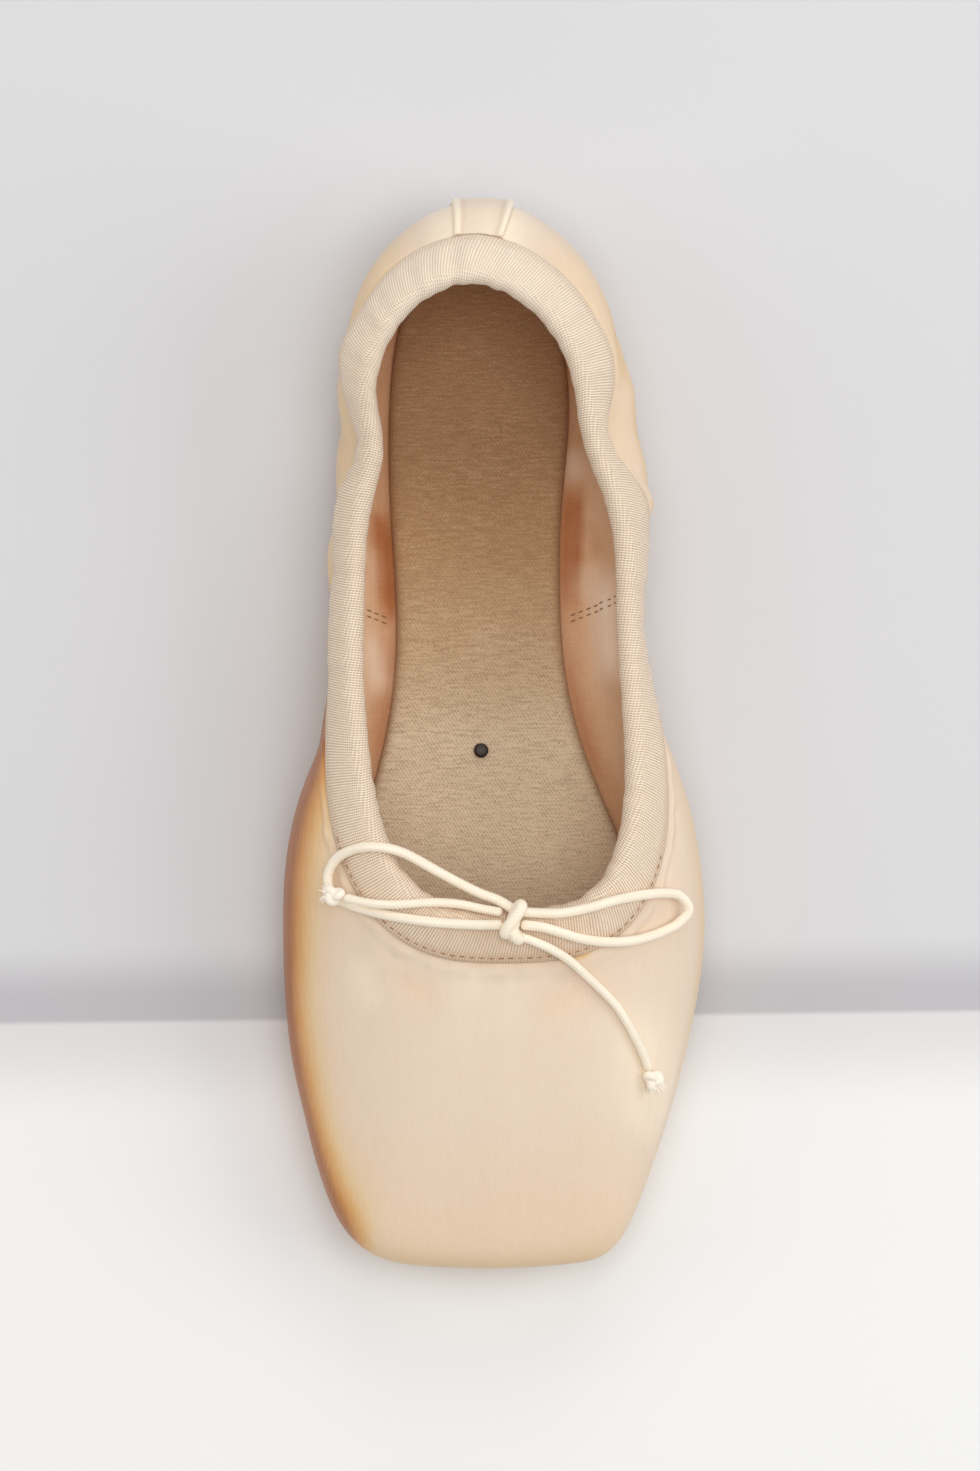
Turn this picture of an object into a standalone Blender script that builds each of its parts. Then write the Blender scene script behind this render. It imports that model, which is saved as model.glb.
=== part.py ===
# Pointe shoe, standing empty on its sole.
# Toe towards -Y, heel towards +Y, +X to the right seen from above, +Z up, in metres.
# The origin is on the floor under the middle of the length.

import math

import bpy
import bmesh
import numpy as np
from mathutils import Vector
from mathutils.bvhtree import BVHTree

# Driving sizes

LENGTH = 0.239            # platform to back of heel
HALF_WIDTH = 0.0475       # half the width at the ball
COLLAR_HEIGHT = 0.055     # heel collar above the floor
ARCH_LIFT = 0.003         # outsole above the floor at the waist

SOLE_THICKNESS = 0.0025
GAP = 0.0003              # between neighbouring pieces
WALL_BOX = 0.0030         # stiffened toe box
WALL_QUARTER = 0.0020     # quarters and heel
MARGIN_THICKNESS = 0.0018  # lasting margin turned in under the insole
INSOLE_THICKNESS = 0.0019

BINDING_OUTSIDE = 0.0094  # width of the binding on the outside
BINDING_INSIDE = 0.0068   # width of the binding on the inside
BINDING_THICKNESS = 0.0010
BINDING_PUFF = 0.0007     # extra thickness over the drawstring

STRIP_WIDTH = 0.0140
STRIP_THICKNESS = 0.0009

NAIL_DIAMETER = 0.0033
NAIL_HEIGHT = 0.0007

CORD_DIAMETER = 0.0022
KNOT_LENGTH = 0.0086
KNOT_WIDTH = 0.0054
END_KNOT_LENGTH = 0.0056
END_KNOT_WIDTH = 0.0038

SOLE_CHAMFER = 0.0008
INSOLE_CHAMFER = 0.0008
INSOLE_ROUND = 0.0004     # height of the insole's rounded top edge
INSOLE_SETBACK = 0.0017   # insole edge inside the feather line
PAD_STEP = 0.0005         # run over which the pad under the insole starts and ends
END_INSET = 0.0002        # first and last section of a plate inside its outline
STRIP_START = 0.0022      # lower end of the heel strip past the feather
STRIP_STOP = 0.0012       # upper end of the heel strip below the binding
CROWN_LIFT = 0.0002       # binding over the collar rim
CORD_ON_SHOE = 0.0350     # lowest place where the bow's cord rests on the shoe

PLAN_SOFTNESS = 0.030     # how far bends draw the stations and rows together
BELLY_SOFTNESS = 0.012
WALL_SOFTNESS = 0.016
RAY_START = 0.2           # height that the draping looks down from

STATIONS_PER_SIDE = 40

# Seen from above: around, along (shares of LENGTH), right and left (shares of HALF_WIDTH).
# "around" runs from 0 at the middle of the toe to 1 at the middle of the heel.

WIDEST_LINE = (
    # around  along   right   left
    (0.000, 0.0000, 0.000, 0.000),
    (0.060, 0.0030, 0.335, 0.330),
    (0.098, 0.0120, 0.525, 0.545),
    (0.128, 0.0360, 0.632, 0.695),
    (0.155, 0.0680, 0.705, 0.782),
    (0.200, 0.1400, 0.836, 0.884),
    (0.250, 0.2150, 0.940, 0.956),
    (0.300, 0.2980, 1.010, 0.980),
    (0.345, 0.3600, 1.010, 0.975),
    (0.390, 0.4230, 0.958, 0.928),
    (0.440, 0.4950, 0.842, 0.815),
    (0.485, 0.5550, 0.748, 0.752),
    (0.550, 0.6350, 0.728, 0.742),
    (0.620, 0.7130, 0.762, 0.724),
    (0.700, 0.8000, 0.712, 0.694),
    (0.770, 0.8680, 0.638, 0.668),
    (0.830, 0.9230, 0.530, 0.580),
    (0.880, 0.9620, 0.385, 0.440),
    (0.935, 0.9900, 0.205, 0.240),
    (1.000, 1.0000, 0.000, 0.000),
)

COLLAR_LINE = (
    # around  along   right    left   height
    (0.000, 0.3315, 0.060, -0.060, 0.925),
    (0.080, 0.3325, 0.225, 0.095, 0.922),
    (0.160, 0.3380, 0.370, 0.245, 0.912),
    (0.235, 0.3540, 0.500, 0.385, 0.895),
    (0.305, 0.3820, 0.592, 0.500, 0.872),
    (0.358, 0.4180, 0.645, 0.572, 0.848),
    (0.404, 0.4620, 0.668, 0.618, 0.815),
    (0.448, 0.5080, 0.670, 0.644, 0.778),
    (0.489, 0.5600, 0.660, 0.658, 0.745),
    (0.542, 0.6250, 0.652, 0.652, 0.728),
    (0.594, 0.6850, 0.632, 0.636, 0.742),
    (0.631, 0.7240, 0.580, 0.600, 0.768),
    (0.667, 0.7600, 0.510, 0.560, 0.800),
    (0.704, 0.7930, 0.470, 0.566, 0.830),
    (0.747, 0.8260, 0.440, 0.572, 0.858),
    (0.790, 0.8560, 0.385, 0.530, 0.892),
    (0.836, 0.8845, 0.290, 0.450, 0.928),
    (0.886, 0.9070, 0.160, 0.335, 0.962),
    (0.940, 0.9195, 0.030, 0.205, 0.985),
    (1.000, 0.9235, -0.080, 0.080, 0.990),
)

FEATHER_LINE = (
    # around  along   right  left
    (0.000, 0.0290, 0.000, 0.000),
    (0.060, 0.0310, 0.275, 0.275),
    (0.098, 0.0400, 0.440, 0.450),
    (0.128, 0.0580, 0.530, 0.570),
    (0.155, 0.0840, 0.585, 0.635),
    (0.200, 0.1450, 0.670, 0.710),
    (0.250, 0.2150, 0.730, 0.750),
    (0.300, 0.2980, 0.760, 0.750),
    (0.345, 0.3570, 0.735, 0.720),
    (0.390, 0.4200, 0.630, 0.630),
    (0.440, 0.4950, 0.485, 0.520),
    (0.485, 0.5550, 0.415, 0.470),
    (0.550, 0.6350, 0.388, 0.458),
    (0.620, 0.7130, 0.400, 0.478),
    (0.700, 0.8000, 0.442, 0.480),
    (0.770, 0.8620, 0.425, 0.455),
    (0.830, 0.9100, 0.355, 0.390),
    (0.880, 0.9400, 0.255, 0.285),
    (0.935, 0.9600, 0.130, 0.150),
    (1.000, 0.9660, 0.000, 0.000),
)

MARGIN_LINE = (
    # around  along   right  left
    (0.000, 0.1180, 0.000, 0.000),
    (0.060, 0.1210, 0.180, 0.180),
    (0.098, 0.1310, 0.300, 0.305),
    (0.128, 0.1480, 0.375, 0.385),
    (0.155, 0.1700, 0.425, 0.440),
    (0.200, 0.2100, 0.485, 0.500),
    (0.250, 0.2550, 0.520, 0.530),
    (0.300, 0.3120, 0.535, 0.525),
    (0.345, 0.3600, 0.505, 0.495),
    (0.390, 0.4200, 0.405, 0.405),
    (0.440, 0.4950, 0.275, 0.295),
    (0.485, 0.5550, 0.215, 0.245),
    (0.550, 0.6350, 0.192, 0.232),
    (0.620, 0.7130, 0.200, 0.245),
    (0.700, 0.7920, 0.232, 0.262),
    (0.770, 0.8420, 0.220, 0.245),
    (0.830, 0.8760, 0.180, 0.200),
    (0.880, 0.8960, 0.125, 0.140),
    (0.935, 0.9080, 0.062, 0.070),
    (1.000, 0.9120, 0.000, 0.000),
)

# Side view of the wall: heights as shares of COLLAR_HEIGHT, lengths in shares of HALF_WIDTH.

WALL_PROFILE = (
    # around  widest  shoulder  dome   crown   squareness
    (0.000, 0.270, 0.520, 0.070, 0.240, 2.3),
    (0.098, 0.265, 0.495, 0.065, 0.220, 2.0),
    (0.155, 0.265, 0.475, 0.070, 0.230, 1.6),
    (0.250, 0.275, 0.475, 0.080, 0.280, 1.3),
    (0.345, 0.290, 0.490, 0.075, 0.270, 1.2),
    (0.440, 0.320, 0.520, 0.045, 0.190, 1.1),
    (0.550, 0.370, 0.560, 0.018, 0.110, 1.0),
    (0.650, 0.385, 0.580, 0.020, 0.110, 1.0),
    (0.750, 0.385, 0.620, 0.035, 0.150, 1.0),
    (0.850, 0.385, 0.680, 0.050, 0.180, 1.0),
    (1.000, 0.385, 0.730, 0.060, 0.200, 1.0),
)

# Underside of the outsole above the floor, as a share of ARCH_LIFT.

GROUND_LINE = (
    # along  lift
    (0.00, 0.60),
    (0.10, 0.28),
    (0.18, 0.05),
    (0.24, 0.00),
    (0.43, 0.00),
    (0.50, 0.30),
    (0.60, 0.92),
    (0.67, 1.00),
    (0.75, 0.50),
    (0.81, 0.00),
    (0.95, 0.00),
    (1.00, 0.08),
)

OUTSOLE_LINE = (
    # along  right  left
    (0.100, 0.000, 0.000),
    (0.104, 0.180, 0.180),
    (0.114, 0.310, 0.315),
    (0.135, 0.430, 0.440),
    (0.170, 0.525, 0.540),
    (0.220, 0.600, 0.610),
    (0.280, 0.640, 0.640),
    (0.340, 0.635, 0.625),
    (0.400, 0.570, 0.565),
    (0.460, 0.465, 0.475),
    (0.520, 0.385, 0.410),
    (0.590, 0.345, 0.385),
    (0.660, 0.345, 0.395),
    (0.730, 0.370, 0.420),
    (0.800, 0.400, 0.440),
    (0.860, 0.390, 0.425),
    (0.905, 0.335, 0.365),
    (0.935, 0.250, 0.275),
    (0.952, 0.140, 0.155),
    (0.957, 0.000, 0.000),
)

# Route of the bow's cord seen from above: right (share of HALF_WIDTH), along (share of LENGTH),
# and height over whatever it lies on (in cord diameters).

LEFT_LOOP_ROUTE = (
    # right   along   clear
    (0.027, 0.3500, 0.55),
    (-0.052, 0.3550, 1.00),
    (-0.156, 0.3651, 1.00),
    (-0.274, 0.3781, 0.80),
    (-0.387, 0.3910, 0.50),
    (-0.466, 0.3978, 0.20),
    (-0.535, 0.4000, 0.00),
    (-0.618, 0.3999, 0.00),
    (-0.678, 0.3962, 0.00),
    (-0.735, 0.3885, 0.00),
    (-0.765, 0.3775, 0.00),
    (-0.772, 0.3655, 0.00),
    (-0.755, 0.3572, 0.00),
    (-0.711, 0.3508, 0.00),
    (-0.643, 0.3452, 0.00),
    (-0.538, 0.3395, 0.00),
    (-0.388, 0.3340, 0.00),
    (-0.246, 0.3305, 0.00),
    (-0.132, 0.3290, 0.00),
    (-0.060, 0.3285, 0.00),
    (0.008, 0.3285, 0.00),
)

LEFT_TAIL_ROUTE = (
    # right   along   clear
    (0.010, 0.3400, 0.00),
    (-0.070, 0.3430, 0.00),
    (-0.160, 0.3470, 0.00),
    (-0.296, 0.3493, 0.00),
    (-0.430, 0.3480, 0.10),
    (-0.530, 0.3478, 0.40),
    (-0.610, 0.3500, 1.30),
    (-0.684, 0.3535, 1.75),
)

RIGHT_LOOP_ROUTE = (
    # right   along   clear
    (0.124, 0.3395, 0.00),
    (0.205, 0.3385, 0.00),
    (0.314, 0.3385, 0.00),
    (0.434, 0.3433, 0.10),
    (0.551, 0.3493, 0.00),
    (0.674, 0.3532, 0.00),
    (0.775, 0.3542, 0.00),
    (0.846, 0.3527, 0.00),
    (0.894, 0.3470, 0.00),
    (0.909, 0.3392, 0.00),
    (0.886, 0.3303, 0.00),
    (0.824, 0.3223, 0.00),
    (0.736, 0.3156, 0.00),
    (0.616, 0.3109, 0.00),
    (0.490, 0.3113, 0.00),
    (0.373, 0.3155, 0.00),
    (0.265, 0.3225, 0.00),
    (0.190, 0.3265, 0.00),
    (0.126, 0.3280, 0.00),
)

RIGHT_TAIL_ROUTE = (
    # right   along   clear
    (0.113, 0.3170, 0.00),
    (0.180, 0.3120, 0.10),
    (0.255, 0.3050, 0.20),
    (0.336, 0.2945, 0.15),
    (0.409, 0.2813, 0.00),
    (0.493, 0.2651, 0.00),
    (0.570, 0.2480, 0.00),
    (0.628, 0.2289, 0.00),
    (0.681, 0.2087, 0.00),
    (0.713, 0.1925, 0.00),
)


# Curves

def monotone(xs, ys, at):
    # Smooth curve through the rows that never overshoots between two of them.
    xs = np.asarray(xs, float)
    ys = np.asarray(ys, float)
    h = np.diff(xs)
    d = np.diff(ys) / h
    m = np.zeros_like(ys)
    for i in range(1, len(xs) - 1):
        if d[i - 1] * d[i] > 0.0:
            w1 = 2.0 * h[i] + h[i - 1]
            w2 = h[i] + 2.0 * h[i - 1]
            m[i] = (w1 + w2) / (w1 / d[i - 1] + w2 / d[i])
    m[0] = d[0]
    m[-1] = d[-1]
    at = np.clip(np.asarray(at, float), xs[0], xs[-1])
    i = np.clip(np.searchsorted(xs, at, side="right") - 1, 0, len(h) - 1)
    t = (at - xs[i]) / h[i]
    a = (1.0 + 2.0 * t) * (1.0 - t) ** 2
    b = t * (1.0 - t) ** 2
    c = t * t * (3.0 - 2.0 * t)
    e = t * t * (t - 1.0)
    return a * ys[i] + b * h[i] * m[i] + c * ys[i + 1] + e * h[i] * m[i + 1]


def column(table, index):
    return [row[index] for row in table]


class ClosedSpline:
    # Cubic spline through a closed row of points, spaced by their distances.
    def __init__(self, points):
        self.points = np.asarray(points, float)
        nxt = np.roll(self.points, -1, axis=0)
        self.h = np.linalg.norm((nxt - self.points)[:, :2], axis=1)
        self.s = np.concatenate(([0.0], np.cumsum(self.h)))
        n = len(self.points)
        matrix = np.zeros((n, n))
        right = np.zeros_like(self.points)
        for i in range(n):
            before = (i - 1) % n
            after = (i + 1) % n
            matrix[i, before] += self.h[before]
            matrix[i, i] += 2.0 * (self.h[before] + self.h[i])
            matrix[i, after] += self.h[i]
            right[i] = 6.0 * ((self.points[after] - self.points[i]) / self.h[i]
                              - (self.points[i] - self.points[before]) / self.h[before])
        self.bend = np.linalg.solve(matrix, right)

    def at(self, s):
        s = np.mod(np.asarray(s, float), self.s[-1])
        n = len(self.points)
        i = np.clip(np.searchsorted(self.s, s, side="right") - 1, 0, n - 1)
        j = (i + 1) % n
        h = self.h[i][:, None]
        a = ((self.s[i + 1] - s)[:, None]) / h
        b = 1.0 - a
        return (a * self.points[i] + b * self.points[j]
                + ((a ** 3 - a) * self.bend[i] + (b ** 3 - b) * self.bend[j]) * h * h / 6.0)


def around_loop(table):
    # A closed line around the shoe, read at "around" 0..1 up the right side and 1..2 back down the left.
    has_height = len(table[0]) > 4
    points = []
    marks = []
    for row in table:
        z = row[4] * COLLAR_HEIGHT if has_height else 0.0
        points.append((row[2] * HALF_WIDTH, (row[1] - 0.5) * LENGTH, z))
        marks.append(row[0])
    for row in reversed(table[1:-1]):
        z = row[4] * COLLAR_HEIGHT if has_height else 0.0
        points.append((-row[3] * HALF_WIDTH, (row[1] - 0.5) * LENGTH, z))
        marks.append(2.0 - row[0])
    spline = ClosedSpline(points)
    marks.append(2.0)

    def read(around):
        around = np.mod(np.asarray(around, float), 2.0)
        return spline.at(monotone(marks, spline.s, around))

    return read


def fold(around):
    # Distance around the nearer side, 0 at the toe and 1 at the heel.
    around = np.mod(np.asarray(around, float), 2.0)
    return np.where(around > 1.0, 2.0 - around, around)


def lift(y):
    # Underside of the outsole above the floor.
    return ARCH_LIFT * monotone(column(GROUND_LINE, 0), column(GROUND_LINE, 1), y / LENGTH + 0.5)


def conic(a, b, c, weight, t):
    # Rational arc from a to c, drawn towards b.
    t = np.asarray(t, float)[:, None]
    wa = (1.0 - t) ** 2
    wb = 2.0 * weight * t * (1.0 - t)
    wc = t * t
    return (wa * a + wb * b + wc * c) / (wa + wb + wc)


# The skin of the shoe: one profile from the feather edge to the collar at each place around it.

widest_at = around_loop(WIDEST_LINE)
collar_at = around_loop(COLLAR_LINE)
feather_at = around_loop(FEATHER_LINE)
margin_at = around_loop(MARGIN_LINE)


def wall_value(index, around):
    return monotone(column(WALL_PROFILE, 0), column(WALL_PROFILE, index), fold(around))


def wall_thickness(around):
    return monotone((0.0, 0.28, 0.5, 1.0), (WALL_BOX, WALL_BOX, WALL_QUARTER, WALL_QUARTER), fold(around))


def inward(loop, around):
    # Unit vector in plan, square to a line around the shoe and pointing inside.
    step = 0.004
    along = loop(around + step) - loop(around - step)
    along[:, 2] = 0.0
    along /= np.linalg.norm(along, axis=1)[:, None]
    return np.stack((-along[:, 1], along[:, 0], np.zeros(len(along))), axis=1)


def guides(around, inner):
    # Control points of the profiles: feather, belly control, widest, shoulder, crown join, dome, collar.
    around = np.atleast_1d(np.asarray(around, float))
    up = np.array((0.0, 0.0, 1.0))
    widest = widest_at(around)
    widest[:, 2] = wall_value(1, around) * COLLAR_HEIGHT
    collar = collar_at(around)
    shoulder = widest.copy()
    shoulder[:, 2] = wall_value(2, around) * COLLAR_HEIGHT
    feather = feather_at(around)
    feather[:, 2] = lift(feather[:, 1]) + SOLE_THICKNESS + GAP
    chord = collar - shoulder
    level = chord.copy()
    level[:, 2] = 0.0
    run = np.linalg.norm(level, axis=1)[:, None]
    square = np.stack((-chord[:, 2], run[:, 0]), axis=1)
    square /= np.linalg.norm(square, axis=1)[:, None]
    outward = level / run * square[:, :1] + up * square[:, 1:]
    dome = shoulder + chord * 0.55 + outward * (wall_value(3, around) * HALF_WIDTH)[:, None]
    if inner:
        wall = wall_thickness(around)[:, None]
        end = collar - dome
        end_level = end.copy()
        end_level[:, 2] = 0.0
        end_run = np.linalg.norm(end_level, axis=1)[:, None]
        normal = end_level / end_run * (-end[:, 2:]) + up * end_run
        normal /= np.linalg.norm(normal, axis=1)[:, None]
        collar = collar - normal * wall
        dome = dome - normal * wall
        step_in = inward(widest_at, around) * wall
        widest = widest + step_in
        shoulder = shoulder + step_in
        shoulder[:, 2] -= wall[:, 0] * 0.85
        feather = feather + up * MARGIN_THICKNESS
    crown = wall_value(4, around)[:, None] * HALF_WIDTH
    reach = dome - shoulder
    length = np.linalg.norm(reach, axis=1)[:, None]
    join = shoulder + reach / length * np.minimum(crown, length * 0.6)
    belly = widest.copy()
    belly[:, 2] = feather[:, 2]
    return feather, belly, widest, shoulder, join, dome, collar


def spread(points, positions):
    # Points of a polyline at given distances from its start.
    steps = np.linalg.norm(np.diff(points, axis=0), axis=1)
    s = np.concatenate(([0.0], np.cumsum(steps)))
    return np.stack([np.interp(positions, s, points[:, k]) for k in range(3)], axis=1)


def even_by_bend(points, count, softness):
    # Distances along a polyline, closer together where it bends.
    steps = np.diff(points, axis=0)
    sizes = np.linalg.norm(steps, axis=1)
    units = steps / sizes[:, None]
    turn = np.zeros(len(sizes))
    turn[1:] = np.arccos(np.clip(np.sum(units[1:] * units[:-1], axis=1), -1.0, 1.0))
    measure = np.concatenate(([0.0], np.cumsum(sizes + softness * turn)))
    s = np.concatenate(([0.0], np.cumsum(sizes)))
    return np.interp(np.linspace(0.0, measure[-1], count + 1), measure, s)


def stations():
    # Places around the shoe, closer together at the toe corners and the heel.
    halves = []
    for start in (0.0, 1.0):
        fine = np.linspace(start, start + 1.0, 900)
        line = widest_at(fine)
        line[:, 2] = 0.0
        steps = np.diff(line, axis=0)
        sizes = np.linalg.norm(steps, axis=1)
        units = steps / sizes[:, None]
        turn = np.zeros(len(sizes))
        turn[1:] = np.arccos(np.clip(np.sum(units[1:] * units[:-1], axis=1), -1.0, 1.0))
        measure = np.concatenate(([0.0], np.cumsum(sizes + PLAN_SOFTNESS * turn)))
        marks = np.interp(np.linspace(0.0, measure[-1], STATIONS_PER_SIDE + 1), measure, fine)
        halves.append(marks[:-1])
    return np.concatenate(halves)


AROUND = stations()
BELLY_STEPS = 4
WALL_STEPS = 6
OUTSIDE_RINGS = (0.0, 0.32, 0.66, 1.0)
INSIDE_RINGS = (0.0, 0.50, 1.0)


def collar_slant(around):
    # How squarely each profile meets the collar line.
    here = np.atleast_1d(around)
    g = guides(here, False)
    run = g[6] - g[5]
    run /= np.linalg.norm(run, axis=1)[:, None]
    edge = collar_at(here + 0.006) - collar_at(here - 0.006)
    edge /= np.linalg.norm(edge, axis=1)[:, None]
    dot = np.sum(run * edge, axis=1)
    return np.sqrt(np.clip(1.0 - dot * dot, 0.16, 1.0))


def skin_rings(inner, width, shares):
    # One row of points for each station, from the margin to the collar.
    g = guides(AROUND, inner)
    weight = wall_value(5, AROUND)
    slant = collar_slant(AROUND)
    margin = margin_at(AROUND)
    margin[:, 2] = lift(margin[:, 1]) + SOLE_THICKNESS + GAP + (MARGIN_THICKNESS if inner else 0.0)
    fine = np.linspace(0.0, 1.0, 60)
    rows = []
    for i in range(len(AROUND)):
        feather, belly, widest, shoulder, join, dome, collar = [p[i] for p in g]
        low = conic(feather, belly, widest, 0.9, fine)
        low = spread(low, even_by_bend(low, BELLY_STEPS, BELLY_SOFTNESS))
        high = np.concatenate((conic(widest, shoulder, join, weight[i], fine),
                               conic(join, dome, collar, 1.0, fine)[1:]))
        total = np.sum(np.linalg.norm(np.diff(high, axis=0), axis=1))
        band = min(width / slant[i], total * 0.72)
        cut = spread(high, np.linspace(0.0, total - band, 60))
        wall = spread(cut, even_by_bend(cut, WALL_STEPS, WALL_SOFTNESS))
        top = spread(high, total - band * (1.0 - np.asarray(shares)))
        middle = (margin[i] + feather) * 0.5
        middle[2] = (lift(np.array([middle[1]]))[0] + SOLE_THICKNESS + GAP
                     + (MARGIN_THICKNESS if inner else 0.0))
        rows.append(np.concatenate((margin[i:i + 1], middle[None, :], low[:-1], wall[:-1], top)))
    return np.array(rows)


outer_rows = skin_rings(False, BINDING_OUTSIDE, OUTSIDE_RINGS)
inner_rows = skin_rings(True, BINDING_INSIDE, INSIDE_RINGS)


def ring_normals(rows, outward_sign):
    # Surface normals of a grid of stations, closed around the shoe.
    across = np.roll(rows, -1, axis=0) - np.roll(rows, 1, axis=0)
    up = np.zeros_like(rows)
    up[:, 1:-1] = rows[:, 2:] - rows[:, :-2]
    up[:, 0] = rows[:, 1] - rows[:, 0]
    up[:, -1] = rows[:, -1] - rows[:, -2]
    normal = np.cross(across, up)
    normal /= np.linalg.norm(normal, axis=2)[:, :, None]
    return normal * outward_sign


outer_normals = ring_normals(outer_rows, 1.0)
inner_normals = ring_normals(inner_rows, 1.0)


# Mesh helpers

def make_object(name, vertices, faces, colour, roughness, sharp=40.0, metallic=0.0):
    mesh = bpy.data.meshes.new(name)
    mesh.from_pydata([tuple(v) for v in vertices], [], faces)
    bm = bmesh.new()
    bm.from_mesh(mesh)
    bmesh.ops.remove_doubles(bm, verts=bm.verts, dist=1.0e-7)
    bmesh.ops.triangulate(bm, faces=bm.faces)
    bmesh.ops.recalc_face_normals(bm, faces=bm.faces)
    if bm.calc_volume(signed=True) < 0.0:
        bmesh.ops.reverse_faces(bm, faces=bm.faces)
    bm.to_mesh(mesh)
    bm.free()
    mesh.shade_smooth()
    mesh.set_sharp_from_angle(angle=math.radians(sharp))
    thing = bpy.data.objects.new(name, mesh)
    bpy.context.scene.collection.objects.link(thing)
    thing.data.materials.append(make_material(name, colour, roughness, metallic))
    return thing


def make_material(name, colour, roughness, metallic=0.0):
    material = bpy.data.materials.new(name + "_material")
    material.use_nodes = True
    shader = material.node_tree.nodes["Principled BSDF"]
    shader.inputs["Base Color"].default_value = (*colour, 1.0)
    shader.inputs["Roughness"].default_value = roughness
    shader.inputs["Metallic"].default_value = metallic
    return material


def closed_grid(rows):
    # Quads of a grid closed both ways: rows[i] is a closed section, and the sections go round.
    n, m = rows.shape[:2]
    faces = []
    for i in range(n):
        a = i * m
        b = ((i + 1) % n) * m
        for j in range(m):
            k = (j + 1) % m
            faces.append((a + j, b + j, b + k, a + k))
    return rows.reshape(-1, 3), faces


def capped_loft(rows):
    # Sections from end to end, closed across and capped at both ends.
    n, m = rows.shape[:2]
    faces = []
    for i in range(n - 1):
        a = i * m
        b = (i + 1) * m
        for j in range(m):
            k = (j + 1) % m
            faces.append((a + j, b + j, b + k, a + k))
    faces.append(tuple(range(m)))
    faces.append(tuple(range((n - 1) * m, n * m))[::-1])
    return rows.reshape(-1, 3), faces


for old in list(bpy.data.objects):
    bpy.data.objects.remove(old, do_unlink=True)


# Upper

upper_sections = np.concatenate((outer_rows, inner_rows[:, ::-1]), axis=1)
vertices, faces = closed_grid(upper_sections)
upper = make_object("upper", vertices, faces, (0.80, 0.62, 0.46), 0.38)


# Binding: a folded tape that straddles the collar edge

def binding_sections():
    count_out = len(OUTSIDE_RINGS)
    count_in = len(INSIDE_RINGS)
    out_ring = outer_rows[:, -count_out:]
    out_normal = outer_normals[:, -count_out:]
    in_ring = inner_rows[:, -count_in:]
    in_normal = inner_normals[:, -count_in:]
    sections = []
    for i in range(len(AROUND)):
        rim_out = out_ring[i, -1]
        rim_in = in_ring[i, -1]
        up = out_ring[i, -1] - out_ring[i, -2]
        up /= np.linalg.norm(up)
        side = rim_out - rim_in
        side /= np.linalg.norm(side)
        near = []
        far = []
        for j, share in enumerate(OUTSIDE_RINGS):
            puff = BINDING_PUFF * math.sin(math.pi * share ** 1.2 * 0.86)
            body = BINDING_THICKNESS * (0.75 if j == 0 else 1.0)
            near.append(out_ring[i, j] + out_normal[i, j] * GAP)
            far.append(out_ring[i, j] + out_normal[i, j] * (GAP + body + puff))
        near[-1] = rim_out + side * GAP + up * GAP
        inner_near = []
        inner_far = []
        for j, share in enumerate(INSIDE_RINGS):
            puff = 0.5 * BINDING_PUFF * math.sin(math.pi * share ** 1.2 * 0.86)
            body = BINDING_THICKNESS * (0.75 if j == 0 else 1.0)
            inner_near.append(in_ring[i, j] - in_normal[i, j] * GAP)
            inner_far.append(in_ring[i, j] - in_normal[i, j] * (GAP + body + puff))
        inner_near[-1] = rim_in - side * GAP + up * GAP
        middle = (rim_out + rim_in) * 0.5
        half = np.linalg.norm(rim_out - rim_in) * 0.5 + GAP + BINDING_THICKNESS
        crown = []
        for angle in (36.0, 90.0, 144.0):
            a = math.radians(angle)
            crown.append(middle + up * (CROWN_LIFT + (half * 0.62 + GAP) * math.sin(a)) + side * half * math.cos(a))
        sections.append(near + inner_near[::-1] + inner_far + crown[::-1] + far[::-1])
    return np.array(sections)


vertices, faces = closed_grid(binding_sections())
binding = make_object("binding", vertices, faces, (0.82, 0.72, 0.58), 0.65, 60.0)


# Outsole and insole: rows across the shoe

def side_curves(table, right_index, left_index):
    along = column(table, 1 if len(table[0]) > 3 else 0)
    return along, column(table, right_index), column(table, left_index)


def outline_points(points, count):
    # A closed outline in plan, read by distance from its front point.
    spline = ClosedSpline(points)
    return spline.at(np.linspace(0.0, spline.s[-1], count, endpoint=False))


def outline_widths(points, ys):
    # Right and left edges of a closed outline at given places along it.
    spline = ClosedSpline(points)
    dense = spline.at(np.linspace(0.0, spline.s[-1], 2400, endpoint=False))
    top = int(np.argmax(dense[:, 1]))
    right = dense[:top + 1]
    left = np.concatenate((dense[top:], dense[:1]))[::-1]
    return (np.interp(ys, right[:, 1], right[:, 0]), np.interp(ys, left[:, 1], left[:, 0]))


def end_spaced(start, stop, count, power=1.0):
    # Places from start to stop, closer together at both ends.
    t = np.linspace(0.0, 1.0, count)
    return start + (stop - start) * 0.5 * (1.0 - np.cos(math.pi * t ** power))


def outline_from(table, inset=0.0):
    points = []
    offset = 1 if len(table[0]) > 3 else 0
    for row in table:
        points.append((row[1 + offset] * HALF_WIDTH, (row[offset] - 0.5) * LENGTH, 0.0))
    for row in reversed(table[1:-1]):
        points.append((-row[2 + offset] * HALF_WIDTH, (row[offset] - 0.5) * LENGTH, 0.0))
    points = np.array(points)
    if inset:
        dense = outline_points(points, 400)
        along = np.roll(dense, -1, axis=0) - np.roll(dense, 1, axis=0)
        along /= np.linalg.norm(along, axis=1)[:, None]
        normal = np.stack((-along[:, 1], along[:, 0], np.zeros(len(along))), axis=1)
        points = (dense + normal * inset)[::4]
    return points


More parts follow.
